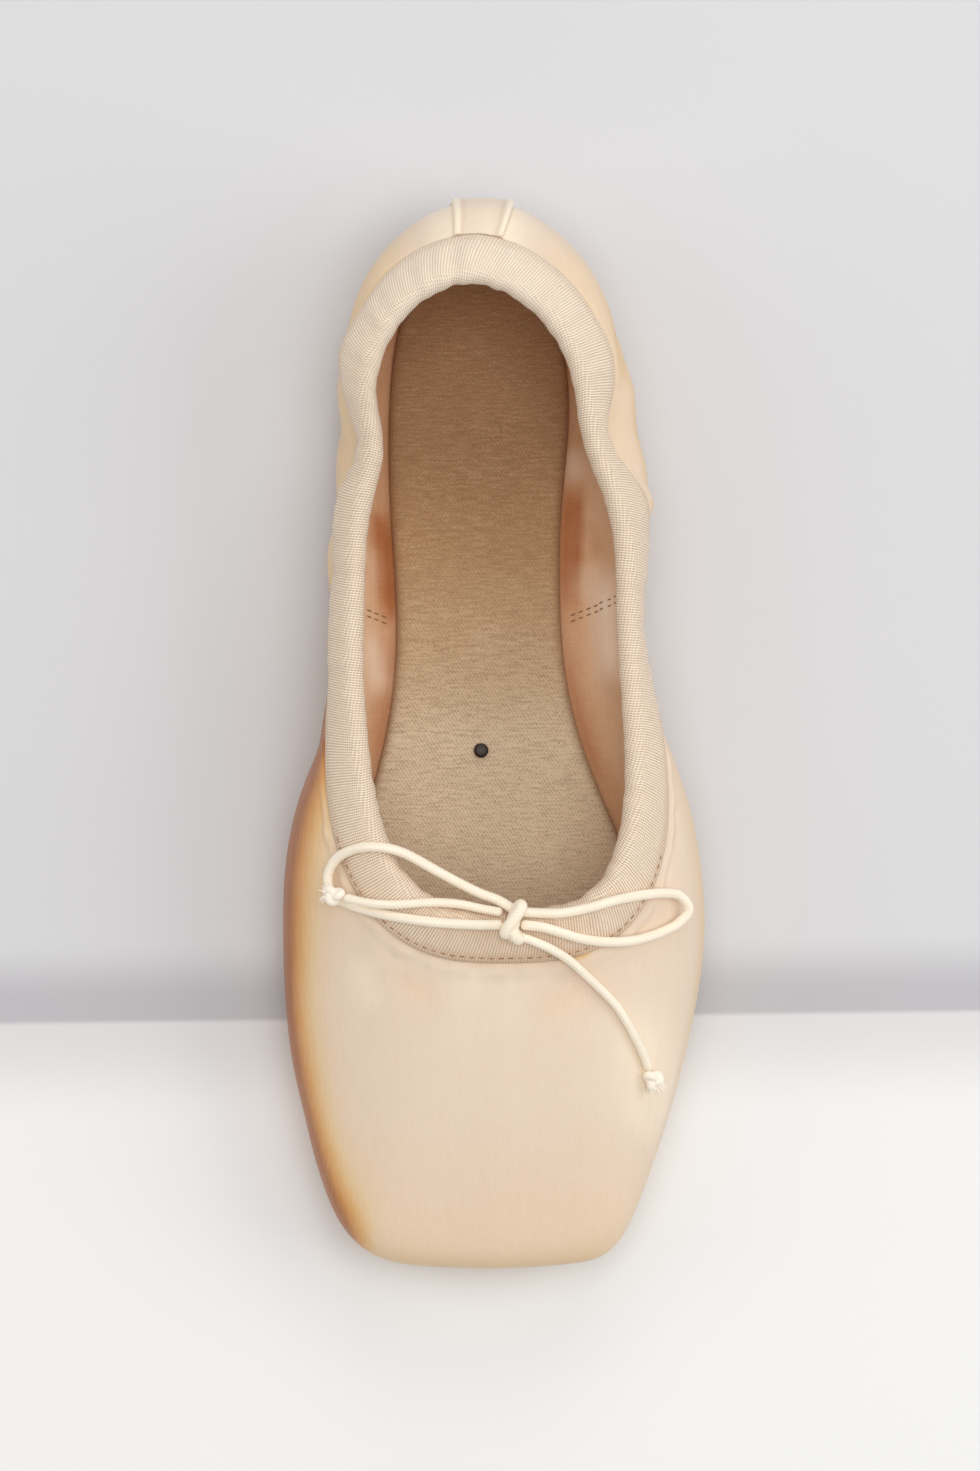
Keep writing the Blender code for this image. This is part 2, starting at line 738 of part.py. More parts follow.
def plate_sections(points, count, chamfer, base, thickness):
    # Sections across a plate whose underside follows base(y).
    ys = end_spaced(points[:, 1].min() + END_INSET, points[:, 1].max() - END_INSET, count)
    right, left = outline_widths(points, ys)
    sections = []
    for y, xr, xl in zip(ys, right, left):
        z = float(base(np.array([y]))[0])
        cut = min(chamfer, (xr - xl) * 0.2)
        row = [(xl + cut, z), (xr - cut, z), (xr, z + cut * 0.8), (xr, z + thickness),
               (xl, z + thickness), (xl, z + cut * 0.8)]
        sections.append([(x, y, h) for x, h in row])
    return np.array(sections)


outsole_points = outline_from(OUTSOLE_LINE)
vertices, faces = capped_loft(plate_sections(outsole_points, 49, SOLE_CHAMFER, lift, SOLE_THICKNESS))
outsole = make_object("outsole", vertices, faces, (0.42, 0.26, 0.15), 0.75, 30.0)


def insole_sections():
    # A board on the lasting margin, with a pad below that fills the opening in it.
    edge = outline_from(FEATHER_LINE, INSOLE_SETBACK)
    pad = outline_from(MARGIN_LINE, GAP * 2.0)
    front = pad[:, 1].min() + PAD_STEP * 0.8
    back = pad[:, 1].max() - PAD_STEP * 0.8
    first = edge[:, 1].min() + END_INSET
    last = edge[:, 1].max() - END_INSET
    ys = np.concatenate((end_spaced(first, front - PAD_STEP * 2.0, 8)[:-1], [front - PAD_STEP],
                         end_spaced(front, back, 36), [back + PAD_STEP],
                         end_spaced(back + PAD_STEP * 2.0, last, 7)[1:]))
    right, left = outline_widths(edge, ys)
    pad_right, pad_left = outline_widths(pad, np.clip(ys, front, back))
    sections = []
    for y, xr, xl, pr, pl in zip(ys, right, left, pad_right, pad_left):
        ground = float(lift(np.array([y]))[0]) + SOLE_THICKNESS
        seat = ground + 2.0 * GAP + MARGIN_THICKNESS
        inside = front - PAD_STEP * 0.2 <= y <= back + PAD_STEP * 0.2
        drop = ground + GAP if inside else seat - GAP * 0.16
        top = seat + INSOLE_THICKNESS
        row = [(xl, seat), (pl, seat), (pl, drop), (pr, drop), (pr, seat), (xr, seat),
               (xr, top - INSOLE_ROUND), (xr - INSOLE_CHAMFER, top), (xl + INSOLE_CHAMFER, top),
               (xl, top - INSOLE_ROUND)]
        if xr - xl < INSOLE_CHAMFER * 5.0:
            row[7] = (xr - (xr - xl) * 0.2, top)
            row[8] = (xl + (xr - xl) * 0.2, top)
        sections.append([(x, y, h) for x, h in row])
    return np.array(sections)


vertices, faces = capped_loft(insole_sections())
insole = make_object("insole", vertices, faces, (0.50, 0.34, 0.20), 0.9, 30.0)

INSOLE_TOP = SOLE_THICKNESS + 2.0 * GAP + MARGIN_THICKNESS + INSOLE_THICKNESS


def nail():
    y = (0.487 - 0.5) * LENGTH
    x = -0.027 * HALF_WIDTH
    base = max(float(lift(np.array([y + k * NAIL_DIAMETER]))[0]) for k in (-0.6, 0, 0.6)) + INSOLE_TOP + GAP
    sections = []
    for share, height in ((0.92, 0.0), (1.0, 0.35), (0.88, 0.75), (0.55, 1.0)):
        ring = []
        for k in range(20):
            a = 2.0 * math.pi * k / 20
            r = NAIL_DIAMETER * 0.5 * share
            ring.append((x + r * math.cos(a), y + r * math.sin(a), base + NAIL_HEIGHT * height))
        sections.append(ring)
    return capped_loft(np.array(sections))


vertices, faces = nail()
make_object("insole_nail", vertices, faces, (0.03, 0.02, 0.02), 0.45, 40.0, 0.6)


# Raised strip over the back seam, from the binding down to the margin

def heel_strip():
    ends = np.linspace(-0.5, 0.5, 6)
    centre = 1.0
    wide = widest_at(np.array([centre - 0.02, centre + 0.02]))
    per_metre = 0.04 / np.linalg.norm(wide[1] - wide[0])
    sections = []
    fine = np.linspace(0.0, 1.0, 50)
    slant = 1.0
    columns = []
    for share in ends:
        around = np.array([centre + share * STRIP_WIDTH * per_metre])
        g = [p[0] for p in guides(around, False)]
        feather, belly, widest, shoulder, join, dome, collar = g
        weight = float(wall_value(5, around)[0])
        line = np.concatenate((conic(feather, belly, widest, 0.9, fine),
                               conic(widest, shoulder, join, weight, fine)[1:],
                               conic(join, dome, collar, 1.0, fine)[1:]))
        total = np.sum(np.linalg.norm(np.diff(line, axis=0), axis=1))
        stop = total - BINDING_OUTSIDE / slant - STRIP_STOP
        columns.append(spread(line, np.linspace(STRIP_START, stop, 15)))
    grid = np.array(columns).transpose(1, 0, 2)
    across = np.gradient(grid, axis=1)
    up = np.gradient(grid, axis=0)
    normal = np.cross(across, up)
    normal /= np.linalg.norm(normal, axis=2)[:, :, None]
    for i in range(len(grid)):
        low = grid[i] + normal[i] * (GAP * 1.6)
        high = []
        for j in range(len(ends)):
            edge = 0.55 if j in (0, len(ends) - 1) else 1.0
            high.append(grid[i, j] + normal[i, j] * (GAP * 1.6 + STRIP_THICKNESS * edge))
        sections.append(list(low) + high[::-1])
    return capped_loft(np.array(sections))


vertices, faces = heel_strip()
make_object("heel_strip", vertices, faces, (0.80, 0.62, 0.46), 0.38, 50.0)


# Bow: every cord is draped over what lies under it

def tree_of(things):
    vertices = []
    faces = []
    for thing in things:
        base = len(vertices)
        vertices += [v.co.copy() for v in thing.data.vertices]
        faces += [tuple(base + k for k in p.vertices) for p in thing.data.polygons]
    return BVHTree.FromPolygons(vertices, faces)


def drape(tree, x, y, radius):
    # Height of the centre of a ball that rests on the shoe at this place.
    best = -1.0
    for ring in (0.0, 0.5, 0.85, 1.0):
        steps = 1 if ring == 0.0 else 12
        for k in range(steps):
            a = 2.0 * math.pi * k / steps
            r = radius * ring
            hit = tree.ray_cast(Vector((x + r * math.cos(a), y + r * math.sin(a), RAY_START)),
                                Vector((0.0, 0.0, -1.0)))
            if hit[0] is not None:
                best = max(best, hit[0].z + math.sqrt(max(0.0, radius * radius - r * r)))
    return best


def smooth_line(points, spacing):
    # Smooth open line through the points, read at an even spacing.
    points = np.asarray(points, float)
    steps = np.linalg.norm(np.diff(points, axis=0), axis=1)
    s = np.concatenate(([0.0], np.cumsum(np.sqrt(steps))))
    tangent = np.zeros_like(points)
    for i in range(1, len(points) - 1):
        h0 = s[i] - s[i - 1]
        h1 = s[i + 1] - s[i]
        tangent[i] = ((points[i] - points[i - 1]) / h0 * h1 + (points[i + 1] - points[i]) / h1 * h0) / (h0 + h1)
    tangent[0] = (points[1] - points[0]) / (s[1] - s[0])
    tangent[-1] = (points[-1] - points[-2]) / (s[-1] - s[-2])
    out = []
    for i in range(len(points) - 1):
        h = s[i + 1] - s[i]
        for t in np.linspace(0.0, 1.0, 24, endpoint=False):
            a = (1 + 2 * t) * (1 - t) ** 2
            b = t * (1 - t) ** 2
            c = t * t * (3 - 2 * t)
            e = t * t * (t - 1)
            out.append(a * points[i] + b * h * tangent[i] + c * points[i + 1] + e * h * tangent[i + 1])
    out.append(points[-1])
    out = np.array(out)
    total = np.sum(np.linalg.norm(np.diff(out, axis=0), axis=1))
    count = max(4, int(round(total / spacing)))
    return spread(out, np.linspace(0.0, total, count + 1))


def over_cords(x, y, radius, under):
    # Height of the centre of a ball that rests on the cords already laid.
    best = -1.0
    reach = radius + CORD_DIAMETER * 0.5 + GAP * 1.5
    for line in under:
        flat = (line[:, 0] - x) ** 2 + (line[:, 1] - y) ** 2
        for k in np.nonzero(flat < reach * reach)[0]:
            best = max(best, line[k, 2] + math.sqrt(reach * reach - flat[k]))
    return best


def dense(line):
    steps = np.linalg.norm(np.diff(line, axis=0), axis=1)
    return spread(line, np.linspace(0.0, float(np.sum(steps)), len(line) * 6))


def cord_line(route, tree, under=(), crosses_from=1.0):
    # The route in plan, then the height: on the shoe, on other cords or hanging free over the opening.
    plan = [(r * HALF_WIDTH, (a - 0.5) * LENGTH, c * CORD_DIAMETER) for r, a, c in route]
    line = smooth_line(plan, CORD_DIAMETER * 0.9)
    radius = CORD_DIAMETER * 0.5
    under = [dense(u) for u in under]
    heights = []
    for k, (x, y, clear) in enumerate(line):
        height = drape(tree, x, y, radius + GAP) + clear
        if k >= crosses_from * len(line):
            height = max(height, over_cords(x, y, radius, under))
        heights.append(height)
    heights = np.array(heights)
    floor = heights.copy()
    good = heights > CORD_ON_SHOE
    index = np.arange(len(heights))
    heights = np.interp(index, index[good], heights[good])
    for _ in range(10):
        soft = heights.copy()
        soft[1:-1] = 0.25 * heights[:-2] + 0.5 * heights[1:-1] + 0.25 * heights[2:]
        heights = np.maximum(soft, floor)
    line[:, 2] = heights
    return smooth_line(line[::2] if len(line) % 2 else np.vstack((line[::2], line[-1:])), CORD_DIAMETER * 1.1)


def cord(name, line, colour):
    data = bpy.data.curves.new(name, "CURVE")
    data.dimensions = "3D"
    data.bevel_mode = "ROUND"
    data.bevel_depth = CORD_DIAMETER * 0.5
    data.bevel_resolution = 2
    data.use_fill_caps = True
    spline = data.splines.new("POLY")
    spline.points.add(len(line) - 1)
    for point, place in zip(spline.points, line):
        point.co = (*place, 1.0)
    thing = bpy.data.objects.new(name, data)
    bpy.context.scene.collection.objects.link(thing)
    thing.data.materials.append(make_material(name, colour, 0.7))
    return thing


def bead(centre, axis, up, length, width, height, waves, count=12, rings=11, twist=0.0):
    # A knot: an egg of turned cord with ridges across it.
    axis = np.asarray(axis, float)
    axis /= np.linalg.norm(axis)
    up = np.asarray(up, float)
    up -= axis * np.dot(up, axis)
    up /= np.linalg.norm(up)
    side = np.cross(axis, up)
    sections = []
    for i in range(rings):
        t = -0.985 + 1.97 * i / (rings - 1)
        body = math.sqrt(1.0 - t * t * t * t)
        ring = []
        for k in range(count):
            a = 2.0 * math.pi * k / count
            ridge = 1.0 + 0.09 * math.cos(waves * math.pi * t + twist * math.sin(a))
            r = body * ridge
            ring.append(np.asarray(centre) + axis * t * length * 0.5
                        + side * math.cos(a) * r * width * 0.46 + up * math.sin(a) * r * height * 0.46)
        sections.append(ring)
    return capped_loft(np.array(sections))


CORD_COLOUR = (0.86, 0.76, 0.62)
shoe_tree = tree_of((upper, binding))

loop_left = cord_line(LEFT_LOOP_ROUTE, shoe_tree)
tail_left = cord_line(LEFT_TAIL_ROUTE, shoe_tree, (loop_left,), 0.5)
loop_right = cord_line(RIGHT_LOOP_ROUTE, shoe_tree)
tail_right = cord_line(RIGHT_TAIL_ROUTE, shoe_tree)

cord("loop_left", loop_left, CORD_COLOUR)
cord("tail_left", tail_left, CORD_COLOUR)
cord("loop_right", loop_right, CORD_COLOUR)
cord("tail_right", tail_right, CORD_COLOUR)

knot_x = 0.068 * HALF_WIDTH
knot_y = (0.3310 - 0.5) * LENGTH
knot_z = drape(shoe_tree, knot_x, knot_y, KNOT_WIDTH * 0.5) + GAP
vertices, faces = bead((knot_x, knot_y, knot_z - GAP * 0.7), (0.06, 1.0, 0.02), (0, 0, 1), KNOT_LENGTH, KNOT_WIDTH,
                       KNOT_WIDTH * 0.95, 3.0, 14, 13, 0.9)
make_object("bow_knot", vertices, faces, CORD_COLOUR, 0.7, 60.0)


def end_knot(name, line, along, under):
    # A small overhand knot just past the end of a tail.
    last = line[-1]
    run = line[-1] - line[-3]
    run /= np.linalg.norm(run)
    centre = last + run * (along * 0.5 + GAP * 3.0)
    for shift in (-0.4, 0.0, 0.4):
        spot = centre + run * along * shift
        size = END_KNOT_WIDTH * (0.5 if shift == 0.0 else 0.34)
        rest = max(drape(shoe_tree, spot[0], spot[1], size) + GAP,
                   over_cords(spot[0], spot[1], size, [dense(u) for u in under]))
        centre[2] = max(centre[2], rest)
    vertices, faces = bead(centre, run, (0, 0, 1), along, END_KNOT_WIDTH * 1.1, END_KNOT_WIDTH, 2.0, 12, 9, 1.2)
    return make_object(name, vertices, faces, (0.88, 0.82, 0.72), 0.75, 60.0)


end_knot("end_knot_left", tail_left, END_KNOT_LENGTH, (loop_left,))
end_knot("end_knot_right", tail_right, END_KNOT_LENGTH, (loop_right,))


# The origin goes under the middle of the shoe, measured without the bow.

BOW = ("loop_left", "loop_right", "tail_left", "tail_right", "bow_knot", "end_knot_left", "end_knot_right")
shoe_points = np.array([v.co[:] for thing in bpy.data.objects if thing.name not in BOW
                        for v in thing.data.vertices])
middle = (shoe_points.min(axis=0) + shoe_points.max(axis=0)) * 0.5
for thing in bpy.data.objects:
    thing.location = (-middle[0], -middle[1], 0.0)
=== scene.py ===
import math

import bmesh
import bpy
import numpy as np
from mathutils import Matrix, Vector
from mathutils.bvhtree import BVHTree


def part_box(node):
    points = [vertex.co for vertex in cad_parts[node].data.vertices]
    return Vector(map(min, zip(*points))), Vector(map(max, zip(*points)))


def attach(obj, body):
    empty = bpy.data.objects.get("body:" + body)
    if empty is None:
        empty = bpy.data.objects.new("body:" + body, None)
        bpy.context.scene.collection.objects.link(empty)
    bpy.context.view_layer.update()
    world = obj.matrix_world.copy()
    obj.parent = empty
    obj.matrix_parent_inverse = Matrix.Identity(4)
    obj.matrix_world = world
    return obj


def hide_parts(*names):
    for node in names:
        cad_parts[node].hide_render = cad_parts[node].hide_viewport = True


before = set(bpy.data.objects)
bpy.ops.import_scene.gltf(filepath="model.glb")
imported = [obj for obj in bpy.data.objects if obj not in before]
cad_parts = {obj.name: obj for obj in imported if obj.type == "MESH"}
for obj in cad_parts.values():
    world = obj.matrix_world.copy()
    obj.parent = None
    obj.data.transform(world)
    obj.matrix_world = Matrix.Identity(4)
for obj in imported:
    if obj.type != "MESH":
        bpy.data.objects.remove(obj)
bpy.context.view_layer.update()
print("frame loaded:", len(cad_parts), "nodes")


# Camera first: it looks down beside the shoe and leans a little towards it, as the photograph does

view = {
    "place": (-0.04765, 0.00009, 1.2),
    "turn": (0.0, math.radians(-2.286), math.radians(-0.609)),
    "sensor": 36.0,
    "lens": 128.73,
    "nearest": 0.05,
    "farthest": 20.0,
}

camera = bpy.data.objects.new("camera", bpy.data.cameras.new("camera"))
bpy.context.scene.collection.objects.link(camera)
camera.location = view["place"]
camera.rotation_euler = view["turn"]
camera.data.sensor_width = view["sensor"]
camera.data.lens = view["lens"]
camera.data.clip_start = view["nearest"]
camera.data.clip_end = view["farthest"]
bpy.context.scene.camera = camera
bpy.context.scene.view_settings.view_transform = "Standard"


# Sizes of the shoe itself

shoe = {
    "length": 0.239,
    "halfWidth": 0.0475,
    "collarHeight": 0.055,
    "archLift": 0.003,
    "soleThickness": 0.0025,
    "gap": 0.0003,
    "wallBox": 0.0030,
    "wallQuarter": 0.0020,
    "marginThickness": 0.0018,
    "insoleThickness": 0.0019,
    "cordDiameter": 0.0022,
    "middle": np.array((-0.00083974, -0.00068035, 0.0)),   # the floor point under the middle of the shoe
    "stations": 480,
}

# Lines round the shoe seen from above. Around runs from 0 at the middle of the toe to 1 at the middle of the heel.
# Around, then along, right and left of the widest line, of the feather edge and of the margin turned in under it.
bodyLines = (
    (0.000,  0.0000, 0.000, 0.000,  0.0290, 0.000, 0.000,  0.1180, 0.000, 0.000),
    (0.060,  0.0030, 0.335, 0.330,  0.0310, 0.275, 0.275,  0.1210, 0.180, 0.180),
    (0.098,  0.0120, 0.525, 0.545,  0.0400, 0.440, 0.450,  0.1310, 0.300, 0.305),
    (0.128,  0.0360, 0.632, 0.695,  0.0580, 0.530, 0.570,  0.1480, 0.375, 0.385),
    (0.155,  0.0680, 0.705, 0.782,  0.0840, 0.585, 0.635,  0.1700, 0.425, 0.440),
    (0.200,  0.1400, 0.836, 0.884,  0.1450, 0.670, 0.710,  0.2100, 0.485, 0.500),
    (0.250,  0.2150, 0.940, 0.956,  0.2150, 0.730, 0.750,  0.2550, 0.520, 0.530),
    (0.300,  0.2980, 1.010, 0.980,  0.2980, 0.760, 0.750,  0.3120, 0.535, 0.525),
    (0.345,  0.3600, 1.010, 0.975,  0.3570, 0.735, 0.720,  0.3600, 0.505, 0.495),
    (0.390,  0.4230, 0.958, 0.928,  0.4200, 0.630, 0.630,  0.4200, 0.405, 0.405),
    (0.440,  0.4950, 0.842, 0.815,  0.4950, 0.485, 0.520,  0.4950, 0.275, 0.295),
    (0.485,  0.5550, 0.748, 0.752,  0.5550, 0.415, 0.470,  0.5550, 0.215, 0.245),
    (0.550,  0.6350, 0.728, 0.742,  0.6350, 0.388, 0.458,  0.6350, 0.192, 0.232),
    (0.620,  0.7130, 0.762, 0.724,  0.7130, 0.400, 0.478,  0.7130, 0.200, 0.245),
    (0.700,  0.8000, 0.712, 0.694,  0.8000, 0.442, 0.480,  0.7920, 0.232, 0.262),
    (0.770,  0.8680, 0.638, 0.668,  0.8620, 0.425, 0.455,  0.8420, 0.220, 0.245),
    (0.830,  0.9230, 0.530, 0.580,  0.9100, 0.355, 0.390,  0.8760, 0.180, 0.200),
    (0.880,  0.9620, 0.385, 0.440,  0.9400, 0.255, 0.285,  0.8960, 0.125, 0.140),
    (0.935,  0.9900, 0.205, 0.240,  0.9600, 0.130, 0.150,  0.9080, 0.062, 0.070),
    (1.000,  1.0000, 0.000, 0.000,  0.9660, 0.000, 0.000,  0.9120, 0.000, 0.000),
)
# Around, along, right, left, height.
collarLine = (
    (0.000, 0.3315, 0.060, -0.060, 0.925),
    (0.080, 0.3325, 0.225, 0.095, 0.922),
    (0.160, 0.3380, 0.370, 0.245, 0.912),
    (0.235, 0.3540, 0.500, 0.385, 0.895),
    (0.305, 0.3820, 0.592, 0.500, 0.872),
    (0.358, 0.4180, 0.645, 0.572, 0.848),
    (0.404, 0.4620, 0.668, 0.618, 0.815),
    (0.448, 0.5080, 0.670, 0.644, 0.778),
    (0.489, 0.5600, 0.660, 0.658, 0.745),
    (0.542, 0.6250, 0.652, 0.652, 0.728),
    (0.594, 0.6850, 0.632, 0.636, 0.742),
    (0.631, 0.7240, 0.580, 0.600, 0.768),
    (0.667, 0.7600, 0.510, 0.560, 0.800),
    (0.704, 0.7930, 0.470, 0.566, 0.830),
    (0.747, 0.8260, 0.440, 0.572, 0.858),
    (0.790, 0.8560, 0.385, 0.530, 0.892),
    (0.836, 0.8845, 0.290, 0.450, 0.928),
    (0.886, 0.9070, 0.160, 0.335, 0.962),
    (0.940, 0.9195, 0.030, 0.205, 0.985),
    (1.000, 0.9235, -0.080, 0.080, 0.990),
)

# Side view of the wall: around, widest, shoulder, dome, crown and squareness.
wallProfile = (
    (0.000, 0.270, 0.520, 0.070, 0.240, 2.3),
    (0.098, 0.265, 0.495, 0.065, 0.220, 2.0),
    (0.155, 0.265, 0.475, 0.070, 0.230, 1.6),
    (0.250, 0.275, 0.475, 0.080, 0.280, 1.3),
    (0.345, 0.290, 0.490, 0.075, 0.270, 1.2),
    (0.440, 0.320, 0.520, 0.045, 0.190, 1.1),
    (0.550, 0.370, 0.560, 0.018, 0.110, 1.0),
    (0.650, 0.385, 0.580, 0.020, 0.110, 1.0),
    (0.750, 0.385, 0.620, 0.035, 0.150, 1.0),
    (0.850, 0.385, 0.680, 0.050, 0.180, 1.0),
    (1.000, 0.385, 0.730, 0.060, 0.200, 1.0),
)

# How the wall is drawn through those places
wallCurve = {
    "domeAt": 0.55,               # share of the way from the shoulder to the collar
    "innerShoulder": 0.85,        # how far the shoulder is lower inside, in wall thicknesses
    "crownMost": 0.6,             # of the way from the shoulder to the dome
    "bellyWeight": 0.9,
    "bandMost": 0.72,             # the binding never takes more of the wall than this
    "stationSoftness": 0.030,     # how strongly points gather in bends: round the shoe,
    "bellySoftness": 0.012,       # below the widest line
    "wallSoftness": 0.008,        # and above it
}

# Where the soft collar is drawn in or stands out: along, how far inwards, reach along,
# how far below the collar it is strongest and over what height.
collarWaves = {
    "right": (
        (0.777, 0.0050, 0.036, 0.0100, 0.0060), (0.856, -0.0006, 0.022, 0.0090, 0.0060),
        (0.607, 0.0013, 0.050, 0.0080, 0.0060), (0.716, -0.0016, 0.014, 0.0150, 0.0060),
    ),
    "left": (
        (0.770, 0.0044, 0.032, 0.0100, 0.0060), (0.855, -0.0016, 0.025, 0.0090, 0.0060),
        (0.660, 0.0010, 0.030, 0.0080, 0.0060), (0.593, -0.0013, 0.022, 0.0170, 0.0070),
        (0.548, 0.0010, 0.016, 0.0170, 0.0070),
    ),
}

# Underside of the outsole: along, lift. Outline of the outsole: along, right, left.
groundLine = (
    (0.00, 0.60), (0.10, 0.28), (0.18, 0.05), (0.24, 0.00), (0.43, 0.00), (0.50, 0.30),
    (0.60, 0.92), (0.67, 1.00), (0.75, 0.50), (0.81, 0.00), (0.95, 0.00), (1.00, 0.08),
)
outsoleLine = (
    (0.100, 0.000, 0.000), (0.104, 0.180, 0.180), (0.114, 0.310, 0.315), (0.135, 0.430, 0.440),
    (0.170, 0.525, 0.540), (0.220, 0.600, 0.610), (0.280, 0.640, 0.640), (0.340, 0.635, 0.625),
    (0.400, 0.570, 0.565), (0.460, 0.465, 0.475), (0.520, 0.385, 0.410), (0.590, 0.345, 0.385),
    (0.660, 0.345, 0.395), (0.730, 0.370, 0.420), (0.800, 0.400, 0.440), (0.860, 0.390, 0.425),
    (0.905, 0.335, 0.365), (0.935, 0.250, 0.275), (0.952, 0.140, 0.155), (0.957, 0.000, 0.000),
)

# Routes of the bow's cord seen from above: right, along, and height over what it lies on in diameters.
bowRoutes = {
    "loopLeft": (
        (0.075, 0.3425, 0.40), (0.027, 0.3490, 0.70), (-0.052, 0.3550, 1.00), (-0.156, 0.3651, 1.00),
        (-0.274, 0.3781, 0.80),
        (-0.387, 0.3910, 0.50), (-0.466, 0.3978, 0.20), (-0.535, 0.4000, 0.00), (-0.618, 0.3999, 0.00),
        (-0.678, 0.3962, 0.00), (-0.735, 0.3885, 0.00), (-0.765, 0.3775, 0.00), (-0.772, 0.3655, 0.00),
        (-0.755, 0.3572, 0.00), (-0.711, 0.3508, 0.00), (-0.643, 0.3452, 0.00), (-0.538, 0.3395, 0.00),
        (-0.388, 0.3340, 0.00), (-0.246, 0.3305, 0.00), (-0.132, 0.3290, 0.00), (-0.060, 0.3285, 0.00),
        (0.008, 0.3285, 0.00),
    ),
    "tailLeft": (
        (0.010, 0.3400, 0.00), (-0.070, 0.3430, 0.00), (-0.160, 0.3470, 0.00), (-0.296, 0.3493, 0.00),
        (-0.430, 0.3480, 0.10), (-0.530, 0.3478, 0.40), (-0.610, 0.3500, 1.30), (-0.684, 0.3535, 1.75),
    ),
    "loopRight": (
        (0.124, 0.3395, 0.00), (0.205, 0.3385, 0.00), (0.314, 0.3385, 0.00), (0.434, 0.3433, 0.10),
        (0.551, 0.3493, 0.00), (0.674, 0.3532, 0.00), (0.775, 0.3542, 0.00), (0.846, 0.3527, 0.00),
        (0.894, 0.3470, 0.00), (0.909, 0.3392, 0.00), (0.886, 0.3303, 0.00), (0.824, 0.3223, 0.00),
        (0.736, 0.3156, 0.00), (0.616, 0.3109, 0.00), (0.490, 0.3113, 0.00), (0.373, 0.3155, 0.00),
        (0.265, 0.3225, 0.00), (0.190, 0.3265, 0.00), (0.126, 0.3280, 0.00),
    ),
    "tailRight": (
        (0.113, 0.3170, 0.00), (0.180, 0.3120, 0.10), (0.255, 0.3050, 0.20), (0.336, 0.2945, 0.15),
        (0.409, 0.2813, 0.00), (0.493, 0.2651, 0.00), (0.570, 0.2480, 0.00), (0.628, 0.2289, 0.00),
        (0.681, 0.2087, 0.00), (0.713, 0.1925, 0.00),
    ),
}


# Curves

def hermite(t):
    # shares of the first place, its slope, the second place and its slope
    return (1.0 + 2.0 * t) * (1.0 - t) ** 2, t * (1.0 - t) ** 2, t * t * (3.0 - 2.0 * t), t * t * (t - 1.0)


def monotone(xs, ys, at):
    # smooth curve through the rows that never overshoots between two of them
    xs = np.asarray(xs, float)
    ys = np.asarray(ys, float)
    h = np.diff(xs)
    d = np.diff(ys) / h
    m = np.zeros_like(ys)
    for i in range(1, len(xs) - 1):
        if d[i - 1] * d[i] > 0.0:
            w1 = 2.0 * h[i] + h[i - 1]
            w2 = h[i] + 2.0 * h[i - 1]
            m[i] = (w1 + w2) / (w1 / d[i - 1] + w2 / d[i])
    m[0] = d[0]
    m[-1] = d[-1]
    at = np.clip(np.asarray(at, float), xs[0], xs[-1])
    i = np.clip(np.searchsorted(xs, at, side="right") - 1, 0, len(h) - 1)
    a, b, c, e = hermite((at - xs[i]) / h[i])
    return a * ys[i] + b * h[i] * m[i] + c * ys[i + 1] + e * h[i] * m[i + 1]


def smoothStep(low, high, value):
    t = np.clip((np.asarray(value, float) - low) / (high - low), 0.0, 1.0)
    return t * t * (3.0 - 2.0 * t)


def column(table, index):
    return [row[index] for row in table]


def unit(vectors):
    return vectors / np.linalg.norm(vectors, axis=-1, keepdims=True)


def fromAbove(points):
    return points * np.array((1.0, 1.0, 0.0))


def turnedIn(along):
    # level directions a quarter turn to the left of a level run
    return np.stack((-along[:, 1], along[:, 0], np.zeros(len(along))), axis=1)


def distances(line):
    # how far along a line each of its points is
    return np.concatenate(([0.0], np.cumsum(np.linalg.norm(np.diff(line, axis=0), axis=1))))


class ClosedSpline:
    # cubic spline through a closed row of points, spaced by their distances
    def __init__(self, points):
        self.points = np.asarray(points, float)
        nxt = np.roll(self.points, -1, axis=0)
        self.h = np.linalg.norm((nxt - self.points)[:, :2], axis=1)
        self.s = np.concatenate(([0.0], np.cumsum(self.h)))
        n = len(self.points)
        matrix = np.zeros((n, n))
        right = np.zeros_like(self.points)
        for i in range(n):
            before = (i - 1) % n
            after = (i + 1) % n
            matrix[i, before] += self.h[before]
            matrix[i, i] += 2.0 * (self.h[before] + self.h[i])
            matrix[i, after] += self.h[i]
            right[i] = 6.0 * ((self.points[after] - self.points[i]) / self.h[i]
                              - (self.points[i] - self.points[before]) / self.h[before])
        self.bend = np.linalg.solve(matrix, right)

    def at(self, s):
        s = np.mod(np.asarray(s, float), self.s[-1])
        n = len(self.points)
        i = np.clip(np.searchsorted(self.s, s, side="right") - 1, 0, n - 1)
        j = (i + 1) % n
        h = self.h[i][:, None]
        a = ((self.s[i + 1] - s)[:, None]) / h
        b = 1.0 - a
        return (a * self.points[i] + b * self.points[j]
                + ((a ** 3 - a) * self.bend[i] + (b ** 3 - b) * self.bend[j]) * h * h / 6.0)


def loopPoints(table, first, height=None):
    # a line round the shoe from three columns, up the right side and back down the left
    points = []
    for side, way, rows in ((first + 1, 1.0, table), (first + 2, -1.0, table[-2:0:-1])):
        for row in rows:
            z = row[height] * shoe["collarHeight"] if height else 0.0
            points.append((row[side] * shoe["halfWidth"] * way, (row[first] - 0.5) * shoe["length"], z))
    return points


def aroundLoop(table, first, height=None):
    # the line as a curve, read at 0..1 up the right side and 1..2 back down the left
    spline = ClosedSpline(loopPoints(table, first, height))
    marks = column(table, 0) + [2.0 - row[0] for row in table[-2:0:-1]] + [2.0]
    return lambda around: spline.at(monotone(marks, spline.s, np.mod(np.asarray(around, float), 2.0)))


